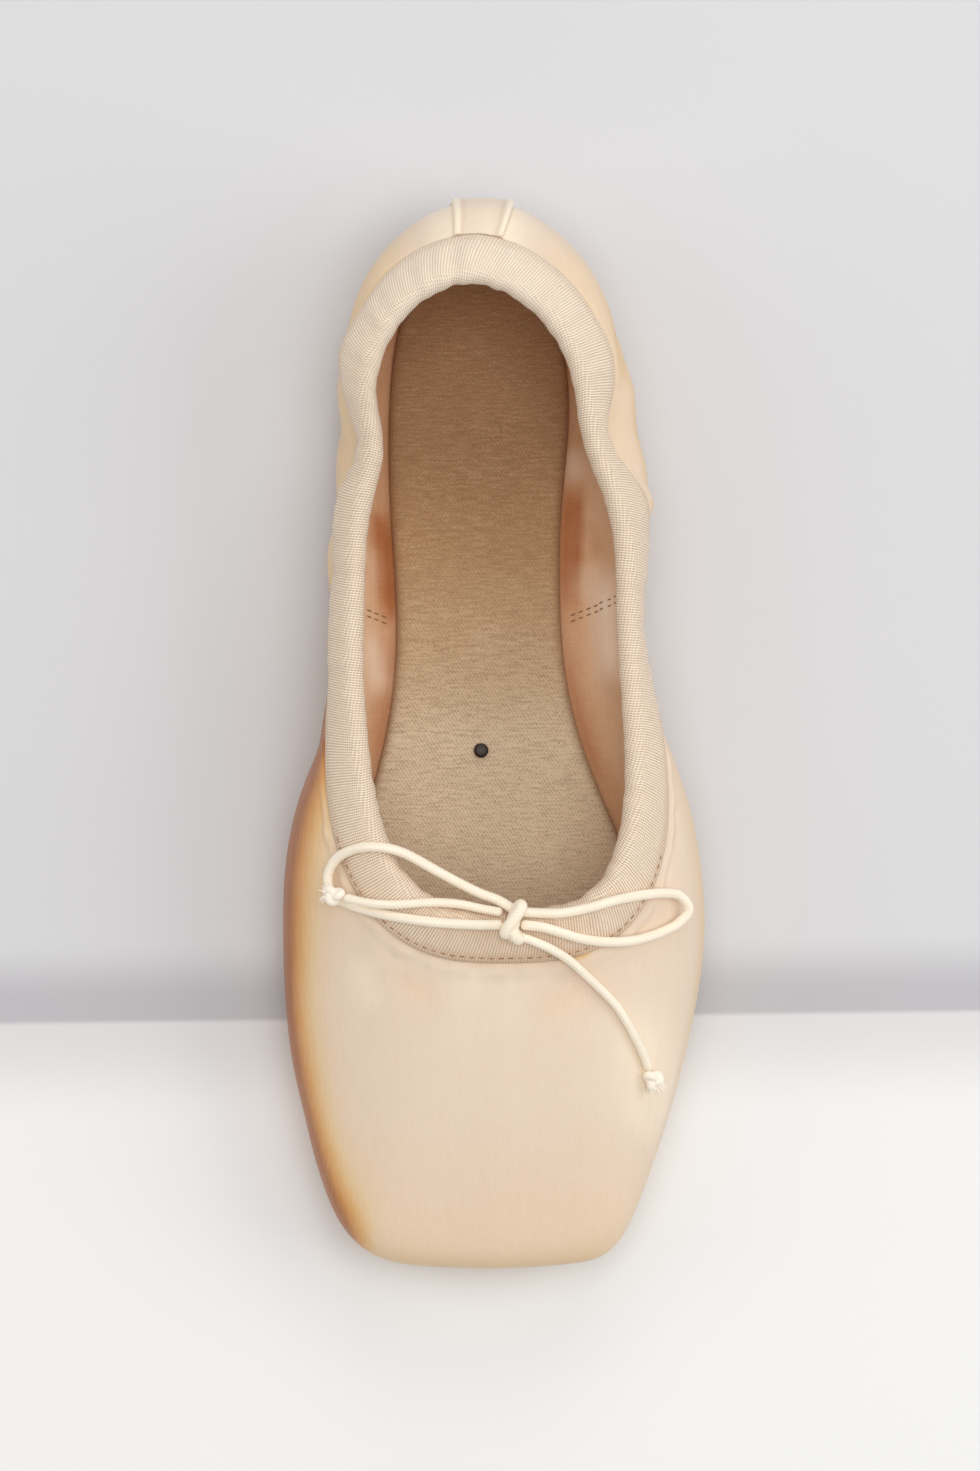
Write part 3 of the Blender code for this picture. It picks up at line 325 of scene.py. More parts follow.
def outlineOf(table, first, count, inset=0.0):
    # the line as even points on the floor, drawn inwards by the inset
    spline = ClosedSpline(loopPoints(table, first))
    line = spline.at(np.linspace(0.0, spline.s[-1], count, endpoint=False))
    return line + turnedIn(unit(np.roll(line, -1, axis=0) - np.roll(line, 1, axis=0))) * inset


def fold(around):
    # distance round the nearer side, 0 at the toe and 1 at the heel
    around = np.mod(np.asarray(around, float), 2.0)
    return np.where(around > 1.0, 2.0 - around, around)


def liftAt(y):
    return shoe["archLift"] * monotone(column(groundLine, 0), column(groundLine, 1), y / shoe["length"] + 0.5)


def conic(a, b, c, weight, t):
    # rational arc from a to c, drawn towards b
    t = np.asarray(t, float)[:, None]
    wa = (1.0 - t) ** 2
    wb = 2.0 * weight * t * (1.0 - t)
    wc = t * t
    return (wa * a + wb * b + wc * c) / (wa + wb + wc)


def spread(points, positions):
    # points of a polyline at given distances from its start
    s = distances(points)
    return np.stack([np.interp(positions, s, points[:, k]) for k in range(3)], axis=1)


def lengthOf(points):
    return float(np.sum(np.linalg.norm(np.diff(points, axis=0), axis=1)))


def evenByBend(points, count, softness):
    # distances along a polyline, closer together where it bends
    steps = np.diff(points, axis=0)
    sizes = np.linalg.norm(steps, axis=1)
    units = steps / sizes[:, None]
    turn = np.zeros(len(sizes))
    turn[1:] = np.arccos(np.clip(np.sum(units[1:] * units[:-1], axis=1), -1.0, 1.0))
    measure = np.concatenate(([0.0], np.cumsum(sizes + softness * turn)))
    s = distances(points)
    return np.interp(np.linspace(0.0, measure[-1], count + 1), measure, s)


def smoothLine(points, spacing):
    # smooth open line through the points, read at an even spacing
    points = np.asarray(points, float)
    steps = np.linalg.norm(np.diff(points, axis=0), axis=1)
    s = np.concatenate(([0.0], np.cumsum(np.sqrt(steps))))
    tangent = np.zeros_like(points)
    for i in range(1, len(points) - 1):
        h0 = s[i] - s[i - 1]
        h1 = s[i + 1] - s[i]
        tangent[i] = ((points[i] - points[i - 1]) / h0 * h1 + (points[i + 1] - points[i]) / h1 * h0) / (h0 + h1)
    tangent[0] = (points[1] - points[0]) / (s[1] - s[0])
    tangent[-1] = (points[-1] - points[-2]) / (s[-1] - s[-2])
    out = []
    for i in range(len(points) - 1):
        h = s[i + 1] - s[i]
        for t in np.linspace(0.0, 1.0, 24, endpoint=False):
            a, b, c, e = hermite(t)
            out.append(a * points[i] + b * h * tangent[i] + c * points[i + 1] + e * h * tangent[i + 1])
    out.append(points[-1])
    out = np.array(out)
    total = lengthOf(out)
    count = max(4, int(round(total / spacing)))
    return spread(out, np.linspace(0.0, total, count + 1))


def softNoise(points, size, seed, count=14):
    # smooth unevenness of about that size, between -1 and 1
    rng = np.random.default_rng(seed)
    total = np.zeros(points.shape[:-1])
    for _ in range(count):
        way = unit(rng.normal(size=3))
        wave = 2.0 * math.pi / (size * rng.uniform(0.7, 1.6))
        total += np.sin(points @ way * wave + rng.uniform(0.0, 2.0 * math.pi))
    return total / math.sqrt(count) * 0.7


# Meshes

def buildMesh(name, vertices, faces, uvs=None):
    mesh = bpy.data.meshes.new(name)
    mesh.from_pydata(vertices.tolist(), [], faces)
    if uvs is not None:
        layer = mesh.uv_layers.new(name="cloth")
        layer.data.foreach_set("uv", np.asarray(uvs, float).ravel())
    mesh.shade_smooth()
    return mesh


def addPiece(name, mesh, materials):
    piece = bpy.data.objects.new(name, mesh)
    bpy.context.scene.collection.objects.link(piece)
    for material in materials:
        mesh.materials.append(material)
    return piece


def settle(piece, node=None):
    # the piece moves with the shoe and stands for its node of the solids
    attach(piece, "root")
    if node:
        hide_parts(node)
    return piece


def gridPiece(name, grid, materials, uv=None, tones=None, slots=None, closed=True, sharp=None):
    # a skin over rows of points, each row closed; the rows go round and meet, or both ends are capped
    n, m = grid.shape[:2]
    rows = n if closed else n - 1
    i = np.repeat(np.arange(rows), m)
    j = np.tile(np.arange(m), rows)
    ii = (i + 1) % n
    jj = (j + 1) % m
    quads = np.stack((i * m + j, ii * m + j, ii * m + jj, i * m + jj), axis=1)
    corners = np.stack((np.stack((i, j), 1), np.stack((i + 1, j), 1), np.stack((i + 1, j + 1), 1),
                        np.stack((i, j + 1), 1)), axis=1)
    vertices = grid.reshape(-1, 3)
    a, b, c, d = (vertices[quads[:, k]] for k in range(4))
    volume = np.sum(np.cross(b - a, c - a) * a) + np.sum(np.cross(c - a, d - a) * a)
    if volume < 0.0:
        quads = quads[:, ::-1]
        corners = corners[:, ::-1]
    faces = quads.tolist()
    uvs = None
    if uv is not None:
        uvs = uv[corners[..., 0], corners[..., 1]].reshape(-1, 2)
    if not closed:
        first = list(range(m))
        last = list(range((n - 1) * m, n * m))[::-1]
        if volume < 0.0:
            first, last = first[::-1], last[::-1]
        faces += [first, last]
        if uvs is not None:
            uvs = np.concatenate((uvs, np.repeat(uv[:1, 0], m, axis=0), np.repeat(uv[-1:, 0], m, axis=0)))
    mesh = buildMesh(name, vertices, faces, uvs)
    piece = addPiece(name, mesh, materials)
    for tone, values in (tones or {}).items():
        layer = mesh.attributes.new(tone, "FLOAT", "POINT")
        layer.data.foreach_set("value", np.asarray(values, float).ravel())
    if slots is not None:
        index = slots[i, j].astype(int)
        index = np.concatenate((index, np.zeros(len(faces) - len(index), int)))
        mesh.polygons.foreach_set("material_index", index)
    if sharp:
        mesh.set_sharp_from_angle(angle=math.radians(sharp))
    return piece


def clothPlaces(lengths, ups, last):
    # flat place of each corner on the cloth, with the far sides of both seams
    ups = np.concatenate((ups, last), axis=1)
    ups = np.concatenate((ups, ups[:1]))
    return np.stack((np.repeat(lengths[:, None], ups.shape[1], axis=1), ups), axis=2)


def gridNormals(grid):
    # normals of a grid that is closed round the shoe, pointing away from the foot on the outside
    across = np.roll(grid, -1, axis=0) - np.roll(grid, 1, axis=0)
    up = np.zeros_like(grid)
    up[:, 1:-1] = grid[:, 2:] - grid[:, :-2]
    up[:, 0] = grid[:, 1] - grid[:, 0]
    up[:, -1] = grid[:, -1] - grid[:, -2]
    normal = np.cross(across, up)
    return normal / np.maximum(np.linalg.norm(normal, axis=2), 1.0e-12)[:, :, None]


capRings = ((0.45, 0.88), (0.8, 0.58), (0.97, 0.2))   # a tube's round end: reach and size in radii


def tubePiece(name, line, radius, materials, sides=14, uvStart=0.0, closed=False):
    # a round cord along a line, with rounded ends; radius is one number or one for each point
    line = np.asarray(line, float)
    radius = np.full(len(line), radius) if np.isscalar(radius) else np.asarray(radius, float)
    tangent = unit(np.roll(line, -1, axis=0) - np.roll(line, 1, axis=0) if closed else np.gradient(line, axis=0))
    side = np.cross(tangent[0], (0.0, 0.0, 1.0))
    if np.linalg.norm(side) < 0.1:
        side = np.cross(tangent[0], (1.0, 0.0, 0.0))
    frames = []
    for run in tangent:
        side = unit(side - run * np.dot(side, run))
        frames.append((side, np.cross(run, side)))
    last = frames[-1][0]
    turn = math.atan2(np.dot(last, frames[0][1]), np.dot(last, frames[0][0])) if closed else 0.0
    angles = 2.0 * math.pi * np.arange(sides) / sides

    def ring(k, centre, size):
        lead, over = frames[k]
        around = angles - turn * k / len(line)
        return centre + size * (np.cos(around)[:, None] * lead + np.sin(around)[:, None] * over)

    s = distances(line)
    grid = [ring(k, line[k], radius[k]) for k in range(len(line))]
    lengths = list(s)
    if not closed:
        for reach, share in capRings:
            for end, way in ((0, -1.0), (-1, 1.0)):
                centre = line[end] + tangent[end] * way * reach * radius[end] * 0.8
                place = 0 if end == 0 else len(grid)
                grid.insert(place, ring(end, centre, radius[end] * share))
                lengths.insert(place, s[end] + way * reach * radius[end])
    grid = np.array(grid)
    rows = len(grid) + (1 if closed else 0)
    uv = np.zeros((rows + 1, sides + 1, 2))
    long = list(lengths) + [s[-1] * (1.0 + 1.0 / len(s))] * (rows + 1 - len(lengths))
    uv[..., 0] = (np.array(long) + uvStart)[:, None]
    uv[..., 1] = np.arange(sides + 1)[None, :] / sides * 2.0 * math.pi * float(np.max(radius))
    return gridPiece(name, grid, materials, uv=uv, closed=closed)


# Materials

def operator(kind, turned=False):
    def apply(self, other):
        return self.finish.maths(kind, other, self) if turned else self.finish.maths(kind, self, other)
    return apply


bandsPerUnit = 3.1831   # bands that a wave texture of scale 1 draws over one unit


class Signal:
    # one value in a material; + - * / and ** on it add Math nodes
    __add__, __radd__ = operator("ADD"), operator("ADD", True)
    __sub__, __rsub__ = operator("SUBTRACT"), operator("SUBTRACT", True)
    __mul__, __rmul__ = operator("MULTIPLY"), operator("MULTIPLY", True)
    __truediv__, __rtruediv__ = operator("DIVIDE"), operator("DIVIDE", True)
    __pow__, __rpow__ = operator("POWER"), operator("POWER", True)

    def __init__(self, finish, socket):
        self.finish = finish
        self.socket = socket


class Finish:
    # a material under construction
    def __init__(self, name, settings):
        self.material = bpy.data.materials.new(name)
        self.material.use_nodes = True
        self.tree = self.material.node_tree
        self.shader = self.tree.nodes["Principled BSDF"]
        for socket, value in settings.items():
            self.shader.inputs[socket].default_value = value

    def node(self, kind, settings, values, output=0):
        made = self.tree.nodes.new(kind)
        for key, value in settings.items():
            if key == "stops":
                stops = made.color_ramp.elements
                while len(stops) < len(value):
                    stops.new(0.5)
                for stop, (place, colour) in zip(stops, value):
                    stop.position = place
                    stop.color = colour
            else:
                setattr(made, key, value)
        for key, value in values.items():
            self.join(value, made.inputs[key])
        return Signal(self, made.outputs[output])

    def join(self, value, socket):
        if isinstance(value, Signal):
            self.tree.links.new(value.socket, socket)
        else:
            socket.default_value = value

    def maths(self, operation, *values):
        return self.node("ShaderNodeMath", {"operation": operation}, dict(enumerate(values)))

    def clamped(self, value):
        return self.node("ShaderNodeClamp", {}, {0: value})

    def place(self, stretch=(1.0, 1.0, 1.0), turn=0.0):
        where = self.node("ShaderNodeTexCoord", {}, {}, "Object")
        return self.node("ShaderNodeMapping", {}, {0: where, "Rotation": (0.0, 0.0, turn), "Scale": stretch})

    def clothPlace(self, stretch=(1.0, 1.0, 1.0), turn=0.0):
        where = self.node("ShaderNodeUVMap", {"uv_map": "cloth"}, {})
        return self.node("ShaderNodeMapping", {}, {0: where, "Rotation": (0.0, 0.0, turn), "Scale": stretch})

    def tone(self, name):
        return self.node("ShaderNodeAttribute", {"attribute_name": name}, {}, "Fac")

    def noise(self, where, scale, detail=2.0, rough=0.5):
        return self.node("ShaderNodeTexNoise", {}, {"Vector": where, "Scale": scale, "Detail": detail,
                                                    "Roughness": rough})

    def wave(self, where, scale, distortion=0.0, direction="X", detail=0.0, detailScale=1.0):
        return self.node("ShaderNodeTexWave", {"bands_direction": direction}, {
            "Vector": where, "Scale": scale, "Distortion": distortion, "Detail": detail,
            "Detail Scale": detailScale})

    def range(self, value, low, high, toLow=0.0, toHigh=1.0):
        return self.node("ShaderNodeMapRange", {"interpolation_type": "SMOOTHSTEP"}, {
            0: value, 1: low, 2: high, 3: toLow, 4: toHigh})

    def blend(self, factor, first, second):
        return self.node("ShaderNodeMix", {"data_type": "RGBA", "clamp_factor": True}, {
            0: factor, 6: first, 7: second}, 2)

    def ramp(self, value, stops):
        return self.node("ShaderNodeValToRGB", {"stops": stops}, {0: value})

    def layers(self, colour, *rows):
        # tints laid over a colour: mask, where it starts and ends, strength before and after, tint
        for mask, low, high, before, after, tint in rows:
            colour = self.blend(self.range(mask, low, high, before, after), colour, tint)
        return colour

    def bump(self, height, distance, strength=1.0):
        return self.node("ShaderNodeBump", {}, {"Height": height, "Distance": distance, "Strength": strength})

    def finish(self, **sockets):
        for socket, value in sockets.items():
            self.join(value, self.shader.inputs[socket.replace("_", " ")])
        return self.material


def paint(red, green, blue):
    # a colour as it looks on screen, 0 to 255
    def straight(value):
        value /= 255.0
        return value / 12.92 if value <= 0.04045 else ((value + 0.055) / 1.055) ** 2.4
    return (straight(red), straight(green), straight(blue), 1.0)


satinFinish = {
    # from the palest satin, lightened at the heel as a painted highlight, through its own colour on the vamp, to the
    # deep gold of the left side, which is painted shade and painted reflection
    "stops": ((0.0, paint(252, 238, 214)), (0.15, paint(232, 211, 189)), (0.35, paint(232, 203, 163)),
              (0.55, paint(226, 182, 124)), (0.75, paint(212, 150, 84)), (1.0, paint(164, 94, 36))),
    "threadPitch": 0.00034,
    "roughness": 0.40,
}


def makeSatin():
    f = Finish("satin", {"Roughness": satinFinish["roughness"], "Specular IOR Level": 0.30, "Sheen Weight": 0.02,
                         "Sheen Roughness": 0.35, "Sheen Tint": (1.0, 0.84, 0.62, 1.0)})
    cloud = f.noise(f.place(), 46.0, 2.0, 0.5)
    pitch = 1.0 / satinFinish["threadPitch"]
    threads = f.noise(f.place((pitch, pitch * 0.05, pitch * 0.30)), 1.0, 1.0, 0.4)
    slub = f.noise(f.place((pitch * 0.22, pitch * 0.012, pitch * 0.1)), 1.0, 2.0, 0.5)
    weft = f.noise(f.place((pitch * 0.05, pitch * 0.9, pitch * 0.9)), 1.0, 1.0, 0.4)
    # the tone sets the satin's own colour and its painted light: a highlight on the heel, shade down the sides and in
    # the creases
    golden = f.clamped(f.tone("golden") + (cloud - 0.5) * 0.05)
    colour = f.layers(f.ramp(golden, satinFinish["stops"]),
                      (slub, 0.35, 0.75, 0.0, 0.05, paint(214, 180, 150)),
                      (threads, 0.35, 0.75, 0.0, 0.07, paint(255, 246, 236)),
                      (weft, 0.35, 0.75, 0.0, 0.05, paint(214, 182, 152)))
    rough = f.range(threads, 0.2, 0.8, 0.37, 0.45)
    height = threads * 0.6 + weft * 0.4
    return f.finish(Base_Color=colour, Roughness=rough, Normal=f.bump(height, 0.00005, 0.5))


satin = makeSatin()


# the lining's own colour at the pale end, deepening into painted shade
liningColourAndShade = ((0.0, paint(240, 208, 176)), (0.30, paint(222, 180, 142)), (0.65, paint(186, 122, 78)),
               (1.0, paint(146, 74, 38)))


def makeLining():
    f = Finish("lining", {"Roughness": 0.84, "Specular IOR Level": 0.22, "Sheen Weight": 0.12,
                          "Sheen Roughness": 0.5})
    cloud = f.noise(f.place(), 70.0, 3.0, 0.55)
    weaveA = f.noise(f.clothPlace((2600.0, 260.0, 1.0)), 1.0, 1.0, 0.4)
    weaveB = f.noise(f.clothPlace((260.0, 2600.0, 1.0)), 1.0, 1.0, 0.4)
    # painted shade deepens the lining's colour in folds and low down; a painted highlight pales its lobes by the
    # binding
    shade = f.clamped(f.tone("hollow") + (cloud - 0.5) * 0.10 + (weaveB - weaveA) * 0.10)
    colour = f.blend(f.clamped(f.tone("pale")), f.ramp(shade, liningColourAndShade), paint(252, 230, 206))
    height = weaveA * 0.5 + weaveB * 0.5 + cloud * 0.3
    return f.finish(Base_Color=colour, Normal=f.bump(height, 0.00010, 0.5))


lining = makeLining()
print("satin and lining made")


# Upper: satin outside, lining inside

upper = {
    "bindingOutside": 0.0094,
    "bindingInside": 0.0068,
    "outsideShares": (0.0, 0.08, 0.17, 0.32, 0.49, 0.66, 0.83, 1.0),
    "insideShares": (0.0, 0.12, 0.30, 0.50, 0.75, 1.0),
    "outsideSteps": (12, 18, 56),       # across the margin, round the feather edge, up the wall
    "insideSteps": (3, 12, 60),
    "pleatPitch": 0.0046,
    "pleatDepth": 0.00085,
    "unevenness": 0.00030,
    "waveSizes": (0.026, 0.011),        # of the satin's large and fine unevenness
    "liningWave": 0.016,
    "liningUnevenness": 0.0004,
    "lipHeight": 0.00048,               # the satin puffs up a little where the binding is sewn down on it
    "lipBelow": 0.0019,
    "lipSpread": 0.0009,
    "dipDepth": 0.00012,                # and is drawn in right at the stitching
    "dipSpread": 0.0007,
    "gatherHeight": 0.00032,
    "gatherSize": 0.0045,
    "gatherReach": 0.0042,
}

# How far along the satin's colours each part is set, from 0 to 1. The ground entry is the satin's own colour and the
# back entry sets the quarters a little deeper; the rest is painted light: a highlight on the heel, and shade and
# reflection down the left side, on the right edge, underneath, on the front and tip of the toe, just below the
# binding and where the creases sink.
satinToneAndPaintedLight = {
    "ground": 0.15,
    "back": 0.11,
    "heel": -0.12,
    "leftReach": 0.0068,
    "leftPaler": 0.86,
    "right": 0.20,
    "under": 0.30,
    "toe": 0.13,
    "tip": 0.10,
    "edge": 0.12,
    "hollow": 0.05,
}

widestAt = aroundLoop(bodyLines, 1)
featherAt = aroundLoop(bodyLines, 4)
marginAt = aroundLoop(bodyLines, 7)
collarAt = aroundLoop(collarLine, 1, 4)


def wallValue(index, around):
    return monotone(column(wallProfile, 0), column(wallProfile, index), fold(around))


def wallThickness(around):
    box, quarter = shoe["wallBox"], shoe["wallQuarter"]
    return monotone((0.0, 0.28, 0.5, 1.0), (box, box, quarter, quarter), fold(around))


def inward(loop, around):
    # level directions from a line round the shoe towards its middle
    return turnedIn(unit(fromAbove(loop(around + 0.004) - loop(around - 0.004))))


def guides(around, inner):
    # control points of the profiles: feather, belly, widest, shoulder, crown join, dome, collar
    up = np.array((0.0, 0.0, 1.0))
    widest = widestAt(around)
    widest[:, 2] = wallValue(1, around) * shoe["collarHeight"]
    collar = collarAt(around)
    shoulder = widest.copy()
    shoulder[:, 2] = wallValue(2, around) * shoe["collarHeight"]
    feather = featherAt(around)
    feather[:, 2] = liftAt(feather[:, 1]) + shoe["soleThickness"] + shoe["gap"]
    chord = collar - shoulder
    level = fromAbove(chord)
    run = np.linalg.norm(level, axis=1)[:, None]
    square = unit(np.stack((-chord[:, 2], run[:, 0]), axis=1))
    outward = level / run * square[:, :1] + up * square[:, 1:]
    dome = shoulder + chord * wallCurve["domeAt"] + outward * (wallValue(3, around) * shoe["halfWidth"])[:, None]
    if inner:
        wall = wallThickness(around)[:, None]
        end = collar - dome
        endLevel = fromAbove(end)
        endRun = np.linalg.norm(endLevel, axis=1)[:, None]
        normal = unit(endLevel / endRun * (-end[:, 2:]) + up * endRun)
        collar = collar - normal * wall
        dome = dome - normal * wall
        stepIn = inward(widestAt, around) * wall
        widest = widest + stepIn
        shoulder = shoulder + stepIn
        shoulder[:, 2] -= wall[:, 0] * wallCurve["innerShoulder"]
        feather = feather + up * shoe["marginThickness"]
    crown = wallValue(4, around)[:, None] * shoe["halfWidth"]
    reach = dome - shoulder
    length = np.linalg.norm(reach, axis=1)[:, None]
    join = shoulder + reach / length * np.minimum(crown, length * wallCurve["crownMost"])
    belly = widest.copy()
    belly[:, 2] = feather[:, 2]
    return feather, belly, widest, shoulder, join, dome, collar


def makeStations(count):
    # places round the shoe, closer together at the toe corners and the heel
    halves = []
    for start in (0.0, 1.0):
        fine = np.linspace(start, start + 1.0, 1600)
        line = widestAt(fine)
        marks = evenByBend(line, count // 2, wallCurve["stationSoftness"])
        halves.append(np.interp(marks, distances(line), fine)[:-1])
    return np.concatenate(halves)


def collarSlant(around):
    g = guides(around, False)
    run = unit(g[6] - g[5])
    edge = unit(collarAt(around + 0.006) - collarAt(around - 0.006))
    dot = np.sum(run * edge, axis=1)
    return np.sqrt(np.clip(1.0 - dot * dot, 0.16, 1.0))


def skinRows(around, inner, width, shares, steps):
    # a row of points at each station, from the margin up to the collar, and how far up each point is
    bottomSteps, bellySteps, wallSteps = steps
    g = guides(around, inner)
    weight = wallValue(5, around)
    slant = collarSlant(around)
    margin = marginAt(around)
    base = shoe["soleThickness"] + shoe["gap"] + (shoe["marginThickness"] if inner else 0.0)
    margin[:, 2] = liftAt(margin[:, 1]) + base
    fine = np.linspace(0.0, 1.0, 90)
    rows = []
    ups = []
    for i in range(len(around)):
        feather, belly, widest, shoulder, join, dome, collar = [p[i] for p in g]
        low = conic(feather, belly, widest, wallCurve["bellyWeight"], fine)
        lowLength = lengthOf(low)
        lowAt = evenByBend(low, bellySteps, wallCurve["bellySoftness"])
        high = np.concatenate((conic(widest, shoulder, join, weight[i], fine),
                               conic(join, dome, collar, 1.0, fine)[1:]))
        total = lengthOf(high)
        band = min(width / slant[i], total * wallCurve["bandMost"])
        cut = spread(high, np.linspace(0.0, total - band, 120))
        wallAt = evenByBend(cut, wallSteps, wallCurve["wallSoftness"])
        topAt = total - band * (1.0 - np.asarray(shares))
        share = np.linspace(0.0, 1.0, bottomSteps, endpoint=False)[:, None]
        bottom = margin[i] * (1.0 - share) + feather * share
        bottom[:, 2] = liftAt(bottom[:, 1]) + base
        rows.append(np.vstack((bottom, spread(low, lowAt)[:-1], spread(cut, wallAt)[:-1], spread(high, topAt))))
        flat = lengthOf(np.stack((margin[i], feather)))
        ups.append(np.concatenate((flat * (share[:, 0] - 1.0), lowAt[:-1], lowLength + wallAt[:-1],
                                   lowLength + topAt)))
    rows = np.array(rows)
    ups = np.array(ups)
    draw = np.zeros(ups.shape)
    below = ups[:, -1:] - ups
    for side, here in (("right", around <= 1.0), ("left", around > 1.0)):
        for along, depth, reach, down, spreadDown in collarWaves[side]:
            far = (rows[:, :, 1] / shoe["length"] + 0.5 - along) / reach
            draw += here[:, None] * depth * np.exp(-far ** 2 - ((below - down) / spreadDown) ** 2)
    rows += inward(widestAt, around)[:, None, :] * draw[:, :, None]
    return rows + shoe["middle"], ups


around = makeStations(shoe["stations"])
outerRows, outerUp = skinRows(around, False, upper["bindingOutside"], upper["outsideShares"],
                              upper["outsideSteps"])
innerRows, innerUp = skinRows(around, True, upper["bindingInside"], upper["insideShares"],
                              upper["insideSteps"])
outerNormals = gridNormals(outerRows)
innerNormals = gridNormals(innerRows)
outerBand = len(upper["outsideShares"])
innerBand = len(upper["insideShares"])


def wallPoint(rows, ups, t, share):
    # a point of the skin at a place round the shoe, as a share of the way from the feather to the binding
    t = t % 2.0
    marks = np.append(around, 2.0)
    place = np.interp(t, marks, np.arange(len(marks)))
    i = int(place)
    part = place - i
    band = outerBand if rows is outerRows else innerBand
    ends = []
    for k in (i % len(around), (i + 1) % len(around)):
        height = share * ups[k, -band]
        ends.append(np.array([np.interp(height, ups[k], rows[k, :, c]) for c in range(3)]))
    return ends[0] * (1.0 - part) + ends[1] * part


def skinTree(rows):
    m = rows.shape[1]
    faces = [(i * m + j, (i + 1) % len(around) * m + j, (i + 1) % len(around) * m + j + 1, i * m + j + 1)
             for i in range(len(around)) for j in range(m - 1)]
    return BVHTree.FromPolygons(rows.reshape(-1, 3).tolist(), faces)


outerTree = skinTree(outerRows)
innerTree = skinTree(innerRows)


photo = {
    "middle": (490.0, 735.0),     # in pixels
    "lens": 5260.0,               # pixels for one millimetre at one millimetre from the lens
    "distance": 1200.0,           # millimetres from the lens to the floor
    "aim": (-48.09, 119.77),      # millimetres from the toe end of the shoe's middle line
    "turn": (0.010634, 0.999943), # sine and cosine of the shoe's turn in the picture
}


def photoPoint(px, py, tree=outerTree, height=0.045):
    # the place on the shoe under a pixel of the photograph
    sine, cosine = photo["turn"]
    for _ in range(5):
        scale = photo["lens"] / (photo["distance"] - height * 1000.0)
        across = (px - photo["middle"][0]) / scale + photo["aim"][0]
        up = (photo["middle"][1] - py) / scale + photo["aim"][1]
        x = (cosine * across + sine * up) / 1000.0 + shoe["middle"][0]
        y = (cosine * up - sine * across) / 1000.0 - shoe["length"] * 0.5 + shoe["middle"][1]
        hit = tree.ray_cast(Vector((x, y, 0.2)), Vector((0.0, 0.0, -1.0)))[0]
        if hit is None:
            break
        height = hit.z
    return np.array((x, y, height))


def pathDistance(points, path):
    # distance from each point to a line, and how far along the line its nearest place is
    best = np.full(len(points), 9.0)
    where = np.zeros(len(points))
    s = distances(path)
    for k in range(len(path) - 1):
        run = path[k + 1] - path[k]
        t = np.clip((points - path[k]) @ run / max(float(run @ run), 1.0e-14), 0.0, 1.0)
        far = np.linalg.norm(points - path[k] - t[:, None] * run, axis=1)
        closer = far < best
        best[closer] = far[closer]
        where[closer] = (s[k] + t[closer] * (s[k + 1] - s[k])) / s[-1]
    return best, where


def crease(points, path, width, height, tapers=(0.35, 0.35)):
    # a soft ridge along a line, or a trough where the height is negative, dying out at both ends
    low = path.min(axis=0) - width * 3.0
    high = path.max(axis=0) + width * 3.0
    near = np.nonzero(np.all((points > low) & (points < high), axis=1))[0]
    out = np.zeros(len(points))
    if len(near):
        far, where = pathDistance(points[near], path)
        fade = np.ones(len(near))
        if tapers[0]:
            fade *= smoothStep(0.0, tapers[0], where)
        if tapers[1]:
            fade *= smoothStep(0.0, tapers[1], 1.0 - where)
        out[near] = height * fade * np.exp(-(far / width) ** 2)
    return out


# Creases of the satin: kind, places, width, height. The places are pixels of the photograph in a "seen" row and
# (around, share up the wall) in a "path" row. A "both" row is a path on the right side and again on the left.
satinCreases = (
    # quarters, from the waist back
    ("both", ((0.50, 0.98), (0.53, 0.72), (0.55, 0.42), (0.56, 0.18)), 0.0040, -0.0009),
    ("path", ((0.545, 0.98), (0.575, 0.70), (0.60, 0.38)), 0.0034, 0.0007),
    ("both", ((0.59, 0.98), (0.62, 0.66), (0.63, 0.35)), 0.0036, -0.0008),
    ("both", ((0.47, 0.95), (0.45, 0.66), (0.42, 0.40)), 0.0042, -0.0006),
    ("both", ((0.66, 0.96), (0.68, 0.70), (0.70, 0.40), (0.71, 0.20)), 0.0040, -0.0007),
    ("both", ((0.70, 0.98), (0.72, 0.72), (0.745, 0.50)), 0.0036, 0.0006),
    ("both", ((0.76, 0.98), (0.775, 0.70), (0.79, 0.45)), 0.0036, -0.0005),
    ("path", ((1.455, 0.98), (1.42, 0.70), (1.40, 0.38)), 0.0034, 0.0007),
    # vamp under the binding
    ("seen", ((596, 966), (622, 988), (652, 998)), 0.0030, -0.00028),
    ("seen", ((752, 1006), (776, 998), (800, 980)), 0.0030, -0.00028),
    ("seen", ((640, 1010), (700, 1000), (760, 1018)), 0.0060, 0.00022),
    ("seen", ((572, 930), (590, 958), (618, 978)), 0.0028, 0.00024),
)


def bothSides(table):
    for kind, places, *rest in table:
        yield ("path" if kind == "both" else kind, places, *rest)
        if kind == "both":
            yield ("path", [(2.0 - t, share) for t, share in places], *rest)


creaseSpacing = 0.0015


def creaseLine(kind, places, rows, ups):
    if kind == "seen":
        points = [photoPoint(*place, outerTree if rows is outerRows else innerTree) for place in places]
    else:
        points = [wallPoint(rows, ups, t, share) for t, share in places]
    return smoothLine(points, creaseSpacing)


